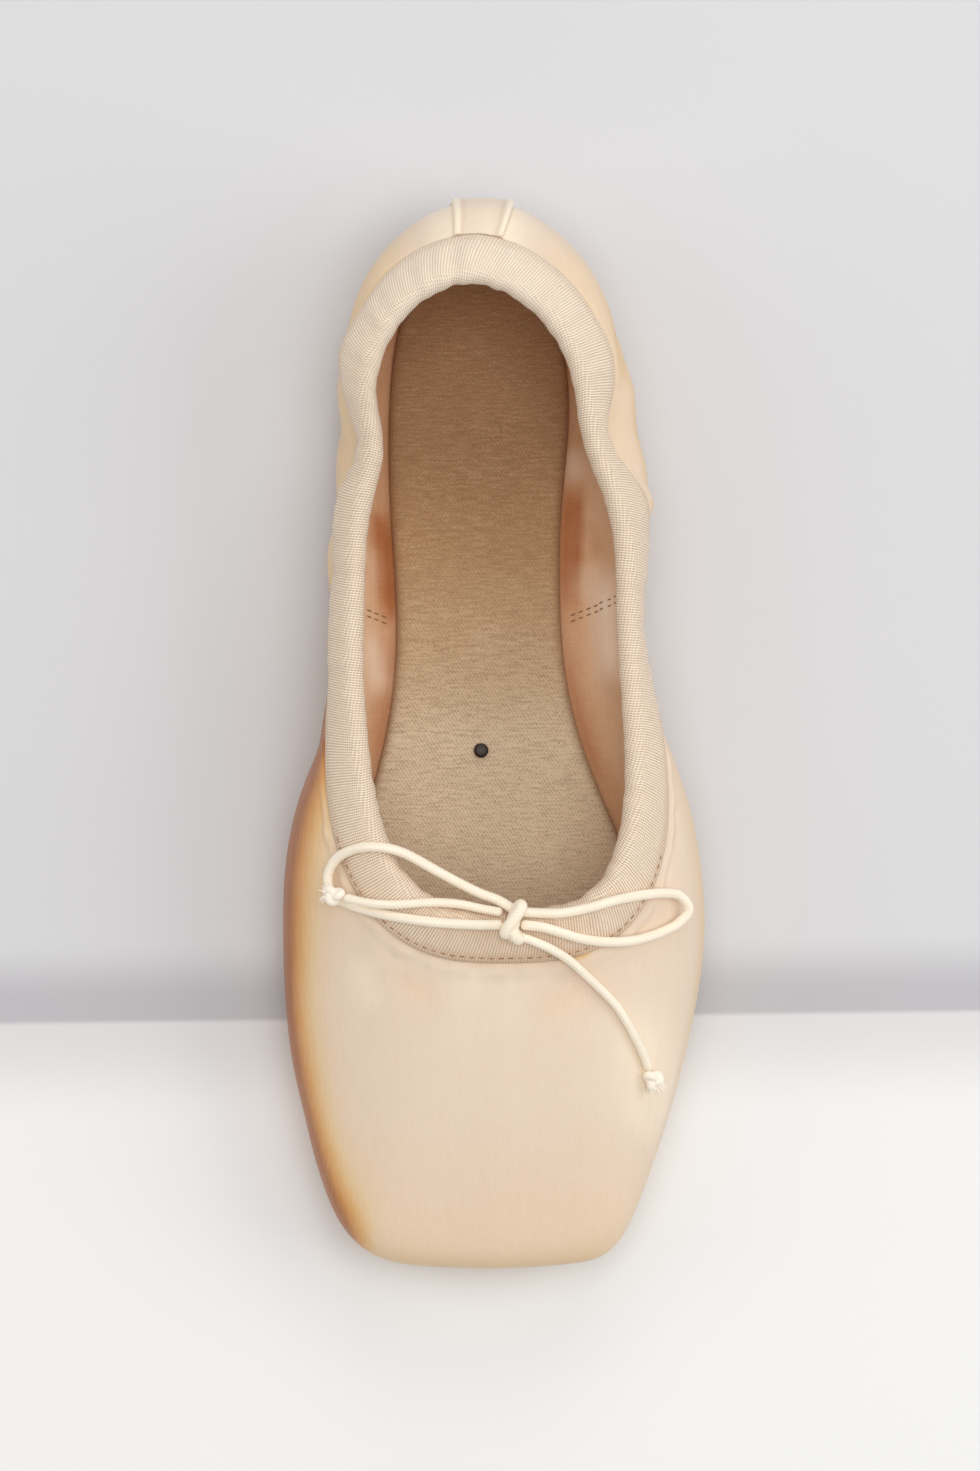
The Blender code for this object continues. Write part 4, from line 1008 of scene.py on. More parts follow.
# Painted shade and painted highlight on the satin: pixels of the photograph, width, shade. Positive is painted shade,
# negative a painted highlight.
satinShadeAndHighlight = (
    (((590, 962), (616, 984), (644, 996), (668, 1002)), 0.0042, 0.07),
    (((730, 1012), (756, 1008), (780, 998), (806, 978)), 0.0042, 0.07),
    (((556, 950), (576, 980), (600, 1016)), 0.0045, -0.05),
    (((640, 1030), (700, 1022), (760, 1036)), 0.0100, -0.02),
    (((768, 950), (786, 954), (806, 950)), 0.0011, 0.40),
    (((618, 930), (650, 949), (686, 958), (730, 958), (780, 956)), 0.0007, 0.16),
    (((826, 980), (850, 1040), (862, 1110), (856, 1180)), 0.0075, -0.09),
)


def insideOutline(outline, points):
    # how far points lie inside a closed outline in plan, negative outside
    x, y = points[:, 0], points[:, 1]
    inside = np.zeros(len(points), bool)
    for a, b in zip(outline, np.roll(outline, -1, axis=0)):
        crosses = (a[1] > y) != (b[1] > y)
        with np.errstate(divide="ignore", invalid="ignore"):
            inside ^= crosses & (x < (b[0] - a[0]) * (y - a[1]) / (b[1] - a[1]) + a[0])
    far, _ = pathDistance(fromAbove(points), np.vstack((outline, outline[:1])))
    return np.where(inside, far, -far)


def toePleats():
    # gathers of the satin under the toe, running in to the edge of the outsole
    outline = outlineOf(outsoleLine, 0, 160) + shoe["middle"]
    feather = featherAt(around)
    s = distances(feather)
    s = np.where(around > 1.0, s - s[-1] - np.linalg.norm(feather[0] - feather[-1]), s)
    rng = np.random.default_rng(11)
    edges = np.arange(-40, 41) * upper["pleatPitch"]
    edges = edges + rng.uniform(-0.22, 0.22, len(edges)) * upper["pleatPitch"]
    sizes = rng.uniform(0.6, 1.0, len(edges))
    index = np.clip(np.searchsorted(edges, s) - 1, 0, len(edges) - 2)
    part = np.clip((s - edges[index]) / (edges[index + 1] - edges[index]), 0.0, 1.0)
    ridge = np.clip(np.sin(np.pi * part ** 0.8), 0.0, 1.0) ** 0.75 * sizes[index]
    front = 1.0 - smoothStep(0.19, 0.29, fold(around))
    points = outerRows.reshape(-1, 3)
    bare = smoothStep(0.0004, 0.0022, -insideOutline(outline, points)).reshape(outerRows.shape[:2])
    rise = smoothStep(0.0, 1.0, 1.0 - np.clip((outerUp - 0.0005) / 0.0085, 0.0, 1.0))
    return upper["pleatDepth"] * (ridge - 0.35)[:, None] * front[:, None] * bare * rise


def satinRelief():
    points = outerRows.reshape(-1, 3)
    relief = np.zeros(len(points))
    for kind, places, width, height in bothSides(satinCreases):
        relief += crease(points, creaseLine(kind, places, outerRows, outerUp), width, height)
    quarter = smoothStep(0.36, 0.48, fold(around))[:, None]
    soft = softNoise(outerRows, upper["waveSizes"][0], 3) * upper["unevenness"]
    fine = softNoise(outerRows, upper["waveSizes"][1], 5) * upper["unevenness"] * 0.35
    relief = relief.reshape(outerRows.shape[:2]) + (soft + fine) * (0.22 + 0.78 * quarter)
    below = outerUp[:, -outerBand][:, None] - outerUp
    lip = np.exp(-((below - upper["lipBelow"]) / upper["lipSpread"]) ** 2) * upper["lipHeight"]
    lip -= np.exp(-(below / upper["dipSpread"]) ** 2) * upper["dipDepth"]
    gathers = softNoise(outerRows, upper["gatherSize"], 7) * np.exp(-(below / upper["gatherReach"]) ** 2)
    gathers *= upper["gatherHeight"]
    calm = smoothStep(0.0, 0.0012, below)
    low = smoothStep(-0.0005, 0.004, outerUp)
    throat = 1.5 - 1.2 * quarter
    return (relief * low + (lip + gathers) * throat) * calm + toePleats()


outerRelief = satinRelief()

# Folds of the lining: kind, places, width, height away from the foot, how much painted shade and how much painted
# highlight the fold gets.
liningFolds = (
    ("both", ((0.46, 0.99), (0.455, 0.75), (0.45, 0.55)), 0.0038, 0.0009, 0.0, 0.0),
    ("both", ((0.50, 0.99), (0.51, 0.75), (0.52, 0.50)), 0.0036, -0.0010, 0.0, 0.0),
    ("both", ((0.60, 0.99), (0.615, 0.78), (0.62, 0.55)), 0.0030, -0.0010, 0.0, 0.0),
    ("both", ((0.645, 0.99), (0.655, 0.75), (0.66, 0.45)), 0.0036, 0.0010, 0.0, 0.0),
    ("path", ((0.70, 0.99), (0.71, 0.70)), 0.0034, -0.0008, 0.0, 0.0),
    # right side, as the photograph shows it
    ("seen", ((784, 466), (784, 523), (783, 570), (781, 624)), 0.0016, 0.0008, 0.66, 0.0),
    ("seen", ((795, 505), (803, 540), (813, 566)), 0.0015, 0.0007, 0.30, 0.0),
    ("seen", ((786, 432), (792, 456), (799, 480)), 0.0020, -0.0008, 0.0, 0.45),
    ("seen", ((799, 500), (795, 530), (792, 560)), 0.0015, -0.0007, 0.0, 0.10),
    ("seen", ((803, 556), (796, 580), (789, 604)), 0.0020, -0.0007, 0.0, 0.30),
    ("seen", ((822, 556), (825, 609), (829, 657), (836, 696)), 0.0019, -0.0012, 0.0, 1.0),
    ("seen", ((807, 606), (811, 640), (818, 676)), 0.0019, 0.0005, 0.18, 0.0),
    ("seen", ((780, 626), (786, 693), (800, 751), (819, 818)), 0.0009, 0.0003, 0.22, 0.0),
    # left side
    ("seen", ((592, 496), (595, 545), (598, 590), (603, 640)), 0.0014, 0.0008, 0.62, 0.0),
    ("seen", ((588, 504), (590, 530), (592, 562)), 0.0015, 0.0007, 0.50, 0.0),
    ("seen", ((580, 540), (584, 566), (587, 592)), 0.0014, -0.0007, 0.0, 0.10),
    ("seen", ((578, 620), (583, 657), (590, 707)), 0.0016, -0.0012, 0.0, 0.55),
    ("seen", ((590, 622), (595, 650), (600, 690)), 0.0012, 0.0005, 0.18, 0.0),
    ("seen", ((598, 660), (592, 710), (582, 775)), 0.0009, 0.0003, 0.22, 0.0),
    # the welts over the side seams
    ("both", ((0.530, 0.02), (0.550, 0.50), (0.571, 0.98)), 0.0010, -0.0005, 0.12, 0.0),
)
liningPaintedLight = {"hollow": 0.70, "pale": 1.0}


def liningRelief():
    points = innerRows.reshape(-1, 3)
    relief = np.zeros(len(points))
    plan = fromAbove(points)
    shades = {"hollow": np.zeros(len(points)), "pale": np.zeros(len(points))}
    for kind, places, width, height, hollow, pale in bothSides(liningFolds):
        line = creaseLine(kind, places, innerRows, innerUp)
        tapers = (0.25, 0.25) if kind == "seen" else (0.0, 0.4)
        relief += crease(points, line, width, height, tapers)
        if kind == "seen":
            tint = crease(plan, fromAbove(line), width * 1.6, 1.0, (0.35, 0.35))
        else:
            tint = crease(points, line, width, 1.0, tapers)
        for shade, amount in (("hollow", hollow), ("pale", pale)):
            shades[shade] = np.maximum(shades[shade], tint * amount * liningPaintedLight[shade])
    relief = relief.reshape(innerRows.shape[:2])
    quarter = smoothStep(0.30, 0.45, fold(around))[:, None]
    relief += softNoise(innerRows, upper["liningWave"], 8) * upper["liningUnevenness"] * quarter
    below = innerUp[:, -innerBand][:, None] - innerUp
    relief *= smoothStep(0.0, 0.0014, below) * smoothStep(0.001, 0.006, innerUp)
    return relief, {shade: total.reshape(innerRows.shape[:2]) for shade, total in shades.items()}


innerRelief, innerShades = liningRelief()


def buildUpper():
    outer = outerRows + outerNormals * outerRelief[:, :, None]
    inner = innerRows + innerNormals * innerRelief[:, :, None]
    normals = gridNormals(outer)
    # painted shade and painted reflection: deep gold down the left side, strongest at the widest line as seen from
    # above and paler along the quarters
    widest = fromAbove(widestAt(around) + shoe["middle"])[:, None]
    far = np.linalg.norm(fromAbove(outerRows) - widest, axis=2)
    stepIn = inward(widestAt, around)[:, None]
    rim = np.take_along_axis(outerUp, np.argmin(np.sum(outerRows * stepIn, axis=2), axis=1)[:, None], axis=1)
    rim = np.mean([np.roll(rim, k, axis=0) for k in range(-14, 15)], axis=0)
    far = np.where(outerUp < rim, (rim - outerUp) * 0.75, far)
    left = np.exp(-(far / satinToneAndPaintedLight["leftReach"]) ** 1.3) * smoothStep(0.40, 0.95, stepIn[:, :, 0])
    left *= 1.0 - satinToneAndPaintedLight["leftPaler"] * smoothStep(0.44, 0.60, fold(around))[:, None]
    heel = smoothStep(0.84, 0.97, fold(around))[:, None]
    # painted light: a highlight on the heel, and shade on the right edge, underneath, on the front and tip of the
    # toe, just below the binding and where the creases sink; the quarters are set a little deeper
    places = {
        "back": smoothStep(0.46, 0.80, fold(around))[:, None] * (1.0 - heel),
        "heel": heel,
        "right": smoothStep(0.86, 1.0, normals[:, :, 0]),
        "under": smoothStep(0.0, 0.9, -normals[:, :, 2]),
        "toe": smoothStep(0.35, 0.95, -normals[:, :, 1]),
        "tip": 1.0 - smoothStep(0.0, 0.17, outer[:, :, 1] / shoe["length"] + 0.5),
        "edge": np.exp(-((outerUp[:, -outerBand][:, None] - outerUp) / 0.0005) ** 2),
        "hollow": smoothStep(0.0001, 0.0007, -outerRelief),
    }
    golden = satinToneAndPaintedLight["ground"] + left
    for name, amount in places.items():
        golden += satinToneAndPaintedLight[name] * amount
    # painted shade and painted highlight along lines of the vamp and beside the binding
    plan = fromAbove(outer).reshape(-1, 3)
    for places, width, shade in satinShadeAndHighlight:
        line = fromAbove(creaseLine("seen", places, outerRows, outerUp))
        golden += crease(plan, line, width, shade).reshape(golden.shape)
    golden = np.clip(golden, 0.0, 1.0)
    # lining: painted shade in its folds and towards the bottom, where it meets the insole
    low = 1.0 - smoothStep(0.001, 0.006, innerUp)
    hollow = np.clip(0.20 + innerShades["hollow"] * 0.9 + low * 0.20, 0.0, 1.0)
    # painted highlight on the lining's lit lobes by the binding
    pale = innerShades["pale"]
    grid = np.concatenate((outer, inner[:, ::-1]), axis=1)
    tones = {
        "golden": np.concatenate((golden, np.zeros_like(hollow)), axis=1),
        "hollow": np.concatenate((np.zeros_like(golden), hollow[:, ::-1]), axis=1),
        "pale": np.concatenate((np.zeros_like(golden), pale[:, ::-1]), axis=1),
    }
    m = grid.shape[1]
    slots = np.zeros((len(grid), m), int)
    slots[:, outer.shape[1] - 1:] = 1
    slots[:, -1] = 0
    ring = widestAt(around)
    s = distances(np.vstack((ring, ring[:1])))
    ups = np.concatenate((outerUp, innerUp[:, ::-1] + 0.2), axis=1)
    uv = clothPlaces(s, ups, ups[:, -1:] + 0.003)
    piece = gridPiece("upperSkin", grid, (satin, lining), uv=uv, tones=tones, slots=slots)
    return settle(piece, "upper")


upperSkin = buildUpper()
print("upper made:", len(upperSkin.data.polygons), "faces")


# Binding: folded tape over the collar edge with the drawstring in it

binding = {
    "thickness": 0.0010,
    "puff": 0.0007,
    "ribPitch": 0.00056,
    "crossPitch": 0.00048,
    "pucker": 0.00034,
    "puckerSizes": (0.0042, 0.0058, 0.0075, 0.0110),
    "rimAngles": (150.0, 126.0, 100.0, 74.0, 50.0, 28.0),
    "rimWidth": 0.004,          # of the cloth that goes over the rim
    "rimLift": 0.0002,
    "rimHeight": 0.62,          # in halves of the rim's width
    "stitchPull": 0.00028,
    "stitchAt": (0.14, 0.07),   # place and reach, as shares of the tape's width
    "pale": paint(247, 231, 210),
    "dark": paint(200, 173, 146),
}


def makeBindingCloth():
    f = Finish("bindingTape", {"Roughness": 0.74, "Specular IOR Level": 0.28, "Sheen Weight": 0.25,
                               "Sheen Roughness": 0.4})
    pitch = binding["ribPitch"]
    turn = math.radians(8.0)
    ribs = f.wave(f.clothPlace(turn=turn), 1.0 / pitch / bandsPerUnit, 0.5, "X", 2.0, 1.2)
    cross = f.wave(f.clothPlace(turn=turn), 1.0 / binding["crossPitch"] / bandsPerUnit, 0.8, "Y", 2.0, 1.0)
    grain = f.noise(f.clothPlace((1.0 / pitch * 1.2, 420.0, 1.0), turn), 1.0, 1.0, 0.5)
    cloud = f.noise(f.clothPlace(), 140.0, 3.0, 0.55)
    height = ribs * 0.55 + cross * 0.30 + grain * 0.25
    colour = f.layers(binding["dark"], (height, 0.25, 0.78, 0.0, 1.0, binding["pale"]),
                      (cloud, 0.40, 0.75, 0.0, 0.16, paint(226, 198, 170)))
    # darkened as painted shade where the tape lies against the shoe, along its stitching and lower edge, and darker
    # at the throat
    colour = f.blend(f.clamped(f.tone("worn")), colour, paint(206, 168, 134))
    # paler round the heel as a painted highlight
    colour = f.blend(f.clamped(f.tone("bleached")), colour, paint(255, 243, 226))
    return f.finish(Base_Color=colour, Normal=f.bump(height, 0.00020, 0.8))


bindingTape = makeBindingCloth()


def buildBinding():
    outRing = outerRows[:, -outerBand:] + outerNormals[:, -outerBand:] * outerRelief[:, -outerBand:, None]
    outNormal = outerNormals[:, -outerBand:]
    inRing = innerRows[:, -innerBand:]
    inNormal = innerNormals[:, -innerBand:]
    gap = shoe["gap"]
    stitchAt, stitchReach = binding["stitchAt"]
    collar = collarAt(around)
    s = distances(collar)
    total = s[-1] + np.linalg.norm(collar[0] - collar[-1])
    rng = np.random.default_rng(21)
    ripple = np.zeros(len(around))
    for size in binding["puckerSizes"]:
        waves = max(1, round(total / size))
        ripple += np.sin(2.0 * math.pi * waves * s / total + rng.uniform(0.0, 6.28)) * rng.uniform(0.6, 1.0)
    bend = smoothStep(0.34, 0.10, fold(around)) * 0.5 + smoothStep(0.80, 0.95, fold(around)) * 0.5 + 0.6
    ripple *= binding["pucker"] * 0.5 * bend
    sections = []
    for i in range(len(around)):
        rimOut = outRing[i, -1]
        rimIn = inRing[i, -1]
        up = unit(outRing[i, -1] - outRing[i, -2])
        side = unit(rimOut - rimIn)
        near = [outRing[i, j] + outNormal[i, j] * gap for j in range(outerBand)]
        near[-1] = rimOut + side * gap + up * gap
        inNear = [inRing[i, j] - inNormal[i, j] * gap for j in range(innerBand)]
        inNear[-1] = rimIn - side * gap + up * gap
        # each point: place, how far up the cloth, and how much it is darkened: painted shade on the faces that lie
        # against the satin and lining, low down inside, and along the stitching and lower edge, with the throat
        # darker too
        section = [(point, -0.02, 0.4) for point in near + inNear[::-1]]
        for j, share in enumerate(upper["insideShares"]):
            puff = 0.5 * binding["puff"] * math.sin(math.pi * share ** 1.2 * 0.86)
            body = binding["thickness"] * (0.35 if j == 0 else 0.86 if j == 1 else 1.0)
            section.append((inRing[i, j] - inNormal[i, j] * (gap + body + puff + 0.4 * ripple[i]),
                            upper["bindingOutside"] + binding["rimWidth"] + upper["bindingInside"] * (1.0 - share),
                            0.45 * (1.0 - share) ** 2))
        middle = (rimOut + rimIn) * 0.5
        half = np.linalg.norm(rimOut - rimIn) * 0.5 + gap + binding["thickness"]
        for angle in binding["rimAngles"]:
            a = math.radians(angle)
            reach = binding["rimLift"] + (half * binding["rimHeight"] + gap) * math.sin(a)
            section.append((middle + up * (reach + 0.7 * ripple[i]) + side * half * math.cos(a),
                            upper["bindingOutside"] + binding["rimWidth"] * (angle / 180.0), 0.0))
        for j in range(outerBand - 1, -1, -1):
            share = upper["outsideShares"][j]
            puff = binding["puff"] * math.sin(math.pi * share ** 1.2 * 0.86)
            body = binding["thickness"] * (0.30 if j == 0 else 0.80 if j == 1 else 1.0)
            # the tape is held down along its stitching and stands up between there and the cord
            stitch = -binding["stitchPull"] * math.exp(-((share - stitchAt) / stitchReach) ** 2)
            live = float(smoothStep(0.05, 0.4, share))
            # painted shade along the stitching and at the tape's lower edge
            worn = 0.55 * math.exp(-((share - 0.13) / 0.06) ** 2) + 0.30 * (1.0 - float(smoothStep(0.0, 0.1, share)))
            section.append((outRing[i, j] + outNormal[i, j] * (gap + body + puff + stitch + ripple[i] * live),
                            upper["bindingOutside"] * share, worn))
        sections.append(section)
    grid, ups, worn = (np.array([column(section, k) for section in sections]) for k in range(3))
    throat = smoothStep(0.26, 0.06, fold(around))[:, None] * 0.26
    m = grid.shape[1]
    uv = clothPlaces(np.append(s, total), ups, ups[:, :1])
    # a painted highlight on the tape round the heel
    bleached = np.repeat(smoothStep(0.66, 0.92, fold(around))[:, None] * 0.30, m, axis=1)
    piece = gridPiece("bindingTape", grid, (bindingTape,), uv=uv, tones={"worn": worn + throat, "bleached": bleached})
    return settle(piece, "binding")


bindingPiece = buildBinding()
print("binding made")


# Heel strip with a rolled seam along each side

heelStrip = {
    "width": 0.0140,
    "thickness": 0.0009,
    "seamWidth": 0.0014,
    "seamHeight": 0.00070,
    "standOff": 0.00012,        # of its back off the satin
    "lift": 0.00035,            # of its face off the satin
    "waveSize": 0.012,
    "waveHeight": 0.00012,
    "start": 0.0022,            # up from the feather edge
    "rows": 60,
}


def buildHeelStrip():
    seam = heelStrip["seamWidth"]
    half = heelStrip["width"] * 0.5
    offsets = np.concatenate((np.linspace(-half, -half + 2.2 * seam, 8), np.linspace(-half + 3.2 * seam,
                              half - 3.2 * seam, 9), np.linspace(half - 2.2 * seam, half, 8)))
    wide = widestAt(np.array([0.98, 1.02]))
    perMetre = 0.04 / np.linalg.norm(wide[1] - wide[0])
    fine = np.linspace(0.0, 1.0, 80)
    columns = []
    for offset in offsets:
        here = np.array([1.0 + offset * perMetre])
        feather, belly, widest, shoulder, join, dome, collar = [p[0] for p in guides(here, False)]
        weight = float(wallValue(5, here)[0])
        line = np.concatenate((conic(feather, belly, widest, wallCurve["bellyWeight"], fine),
                               conic(widest, shoulder, join, weight, fine)[1:],
                               conic(join, dome, collar, 1.0, fine)[1:]))
        total = lengthOf(line)
        stop = total - upper["bindingOutside"] - shoe["gap"]
        columns.append(spread(line, np.linspace(heelStrip["start"], stop, heelStrip["rows"])))
    grid = np.array(columns).transpose(1, 0, 2) + shoe["middle"]
    normal = unit(np.cross(np.gradient(grid, axis=1), np.gradient(grid, axis=0)))
    edge = np.minimum(offsets + half, half - offsets)
    body = heelStrip["thickness"] * 0.45 * smoothStep(-0.0003, 0.0004, edge)
    roll = heelStrip["seamHeight"] * np.exp(-((edge - seam * 0.75) / (seam * 0.55)) ** 2)
    soft = softNoise(grid, heelStrip["waveSize"], 17) * heelStrip["waveHeight"]
    low = grid + normal * heelStrip["standOff"]
    rise = smoothStep(0.0, 0.14, np.linspace(0.0, 1.0, len(grid)))[:, None]
    high = grid + normal * (heelStrip["lift"] + (body + roll)[None, :] * (0.15 + 0.85 * rise) + soft)[:, :, None]
    sections = np.concatenate((low, high[:, ::-1]), axis=1)
    # painted highlight along each rolled seam and painted shade in the groove just inside it
    tint = 0.10 - 0.12 * np.exp(-((edge - seam * 0.75) / (seam * 0.6)) ** 2)
    tint += 0.10 * np.exp(-((edge - seam * 1.7) / (seam * 0.35)) ** 2)
    golden = np.concatenate((np.full(grid.shape[:2], 0.3), np.repeat(tint[None, ::-1], len(grid), 0)), axis=1)
    piece = gridPiece("heelStrip", sections, (satin,), tones={"golden": np.clip(golden, 0.0, 1.0)}, closed=False,
                      sharp=50.0)
    settle(piece, "heel_strip")


buildHeelStrip()
print("heel strip made")


# Insole: cloth-covered board

insole = {
    "inset": 0.0015,
    # from the toe to the heel, darker towards the heel as painted shade in the heel of the shoe
    "stops": ((0.0, paint(238, 217, 189)), (0.30, paint(224, 203, 172)), (0.52, paint(224, 203, 172)),
              (0.64, paint(205, 177, 142)), (0.80, paint(184, 147, 108)), (1.0, paint(166, 128, 92))),
    # painted shade along the board's edge, where it meets the lining, and on its underside
    "edge": paint(128, 84, 54),
    "speck": (722, 697),                # a dark thread in the cloth, a pixel of the photograph
    "weavePitch": 0.00060,
    "rows": 220,
    "columns": 34,
    "edgeRoll": 0.0007,
    "rollReach": 0.0012,
    "waveSize": 0.03,
    "waveHeight": 0.00010,
    "edgeShade": 0.62,
    "edgeReach": 0.0013,
    "underShade": 0.9,
}


def makeInsoleCloth():
    f = Finish("insoleCloth", {"Roughness": 0.94, "Specular IOR Level": 0.15, "Sheen Weight": 0.10,
                               "Sheen Roughness": 0.6})
    y = f.node("ShaderNodeSeparateXYZ", {}, {0: f.place()}, 1)
    pitch = 1.0 / insole["weavePitch"]
    cloud = f.noise(f.place((1.0, 1.6, 1.0)), 75.0, 4.0, 0.6)
    long = f.noise(f.place((pitch * 0.16, pitch * 1.3, pitch)), 1.0, 2.0, 0.5)
    short = f.noise(f.place((pitch * 1.1, pitch * 1.1, pitch)), 1.0, 2.0, 0.5)
    twill = f.wave(f.place(turn=math.radians(-32.0)), pitch / bandsPerUnit * 0.9, 2.4, "X", 2.0, 1.4)
    fleck = f.noise(f.place(), 1900.0, 1.0, 0.4)
    weave = long * 0.50 + short * 0.38 + twill * 0.12
    mark = photoPoint(*insole["speck"], outerTree, 0.006)
    far = f.node("ShaderNodeVectorMath", {"operation": "DISTANCE"}, {0: f.place(), 1: tuple(mark)}, 1)
    along = f.range(y + (cloud - 0.5) * 0.012, -0.115, 0.105)
    colour = f.layers(f.ramp(along, insole["stops"]),
                      (weave, 0.36, 0.56, 0.36, 0.0, paint(124, 90, 60)),
                      (weave, 0.52, 0.68, 0.0, 0.15, paint(244, 230, 206)),
                      (fleck, 0.66, 0.76, 0.0, 0.35, paint(120, 88, 60)),
                      (far, 0.0003, 0.0006, 0.85, 0.0, paint(70, 48, 34)))
    colour = f.blend(f.tone("edge"), colour, insole["edge"])
    return f.finish(Base_Color=colour, Normal=f.bump(weave, 0.00030, 0.8))


insoleCloth = makeInsoleCloth()


def eased(first, last, count):
    # places along, closer together at both ends
    return first + (last - first) * 0.5 * (1.0 - np.cos(math.pi * np.linspace(0.0, 1.0, count)))


def edgesAt(outline, ys):
    # how far right and left a closed outline reaches at each place along
    line = np.roll(outline, -int(np.argmin(outline[:, 1])), axis=0)
    top = int(np.argmax(line[:, 1]))
    right = line[:top + 1]
    left = np.concatenate((line[top:], line[:1]))[::-1]
    return np.interp(ys, right[:, 1], right[:, 0]), np.interp(ys, left[:, 1], left[:, 0])


def buildInsole():
    gap = shoe["gap"]
    edge = outlineOf(bodyLines, 4, 1200, insole["inset"])
    pad = outlineOf(bodyLines, 7, 1200, gap * 2.0)
    front = pad[:, 1].min() + 0.0004
    back = pad[:, 1].max() - 0.0004
    first = edge[:, 1].min() + 0.0001
    last = edge[:, 1].max() - 0.0001
    ys = eased(first, last, insole["rows"])
    right, left = edgesAt(edge, ys)
    padRight, padLeft = edgesAt(pad, np.clip(ys, front, back))
    shares = eased(0.0, 1.0, insole["columns"])
    rows = []
    edges = []
    for y, xr, xl, pr, pl in zip(ys, right, left, padRight, padLeft):
        ground = float(liftAt(np.array([y]))[0]) + shoe["soleThickness"]
        seat = ground + 2.0 * gap + shoe["marginThickness"]
        drop = ground + gap if front <= y <= back else seat - 0.00005
        top = seat + shoe["insoleThickness"]
        low = [(xl, seat), (pl, seat), (pl, drop), (pr, drop), (pr, seat), (xr, seat)]
        xs = xr + (xl - xr) * shares
        near = np.minimum(xs - xl, xr - xs)
        near = np.minimum(near, min(y - first, last - y) + 0.0002)
        outside = 1.0 - np.clip(near / insole["rollReach"], 0.0, 1.0)
        roll = insole["edgeRoll"] * (1.0 - np.sqrt(np.clip(1.0 - outside ** 2, 0.0, 1.0)))
        line = np.stack((xs, np.full(len(xs), y), np.zeros(len(xs))), axis=1)
        wave = softNoise(line, insole["waveSize"], 4) * insole["waveHeight"]
        high = [(x, top - r - 0.0002 + w) for x, r, w in zip(xs, roll, wave)]
        rows.append([(x, y, z) for x, z in low + high])
        edges.append([insole["underShade"]] * 6
                     + list(insole["edgeShade"] * np.exp(-(near / insole["edgeReach"]) ** 2)))
    grid = np.array(rows) + shoe["middle"]
    piece = gridPiece("insoleBoard", grid, (insoleCloth,), tones={"edge": np.array(edges)}, closed=False,
                      sharp=55.0)
    settle(piece, "insole")


buildInsole()
print("insole made")


# Nail head in the insole

nail = {
    "sides": 32,
    "dent": 0.012,
    # share of the radius, share of the height
    "rings": ((0.90, 0.0), (1.0, 0.25), (0.98, 0.50), (0.88, 0.72), (0.66, 0.88), (0.38, 0.95), (0.36, 0.86),
              (0.10, 0.84)),
}


def buildNail():
    f = Finish("nailSteel", {"Metallic": 0.75, "Roughness": 0.42})
    speck = f.noise(f.place(), 1600.0, 3.0, 0.6)
    colour = f.blend(f.range(speck, 0.35, 0.7, 0.0, 0.6), paint(52, 48, 48), paint(84, 72, 62))
    steel = f.finish(Base_Color=colour, Roughness=f.range(speck, 0.3, 0.7, 0.34, 0.58),
                     Normal=f.bump(speck, 0.00004, 0.6))
    low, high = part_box("insole_nail")
    centre = (low + high) * 0.5
    radius = (high.x - low.x) * 0.5
    angle = 2.0 * math.pi * np.arange(nail["sides"]) / nail["sides"]
    dent = 1.0 + nail["dent"] * np.sin(3.0 * angle + 0.7)
    grid = []
    for share, height in nail["rings"]:
        grid.append(np.stack((centre.x + radius * share * dent * np.cos(angle),
                              centre.y + radius * share * dent * np.sin(angle),
                              np.full(nail["sides"], low.z + (high.z - low.z) * height)), axis=1))
    piece = gridPiece("insoleNail", np.array(grid), (steel,), closed=False, sharp=45.0)
    settle(piece, "insole_nail")


buildNail()
print("nail made")


# Outsole: thin suede leather

outsole = {
    "rows": 170,
    "chamfer": 0.0007,
    "bevel": 0.0003,
    "edgeShade": 0.8,
    "edgeReach": 0.0016,
    "face": paint(176, 140, 104),
    "rubbed": paint(138, 102, 72),
    "edge": paint(116, 78, 50),
}


def makeSoleLeather():
    f = Finish("soleLeather", {"Roughness": 0.82, "Specular IOR Level": 0.3, "Sheen Weight": 0.08})
    grain = f.noise(f.place(), 1500.0, 4.0, 0.62)
    cloud = f.noise(f.place((1.0, 0.7, 1.0)), 42.0, 4.0, 0.6)
    streak = f.noise(f.place((240.0, 30.0, 240.0)), 1.0, 3.0, 0.55)
    pores = f.node("ShaderNodeTexVoronoi", {}, {"Vector": f.place(), "Scale": 900.0}, 0)
    colour = f.layers(outsole["face"], (cloud, 0.3, 0.75, 0.0, 1.0, outsole["rubbed"]),
                      (streak, 0.5, 0.8, 0.0, 0.25, paint(206, 172, 134)))
    colour = f.blend(f.tone("edge"), colour, outsole["edge"])
    height = grain * 0.6 + f.range(pores, 0.0, 0.35) * 0.4
    return f.finish(Base_Color=colour, Roughness=f.range(cloud, 0.3, 0.7, 0.72, 0.90),
                    Normal=f.bump(height, 0.00014, 0.7))


soleLeather = makeSoleLeather()


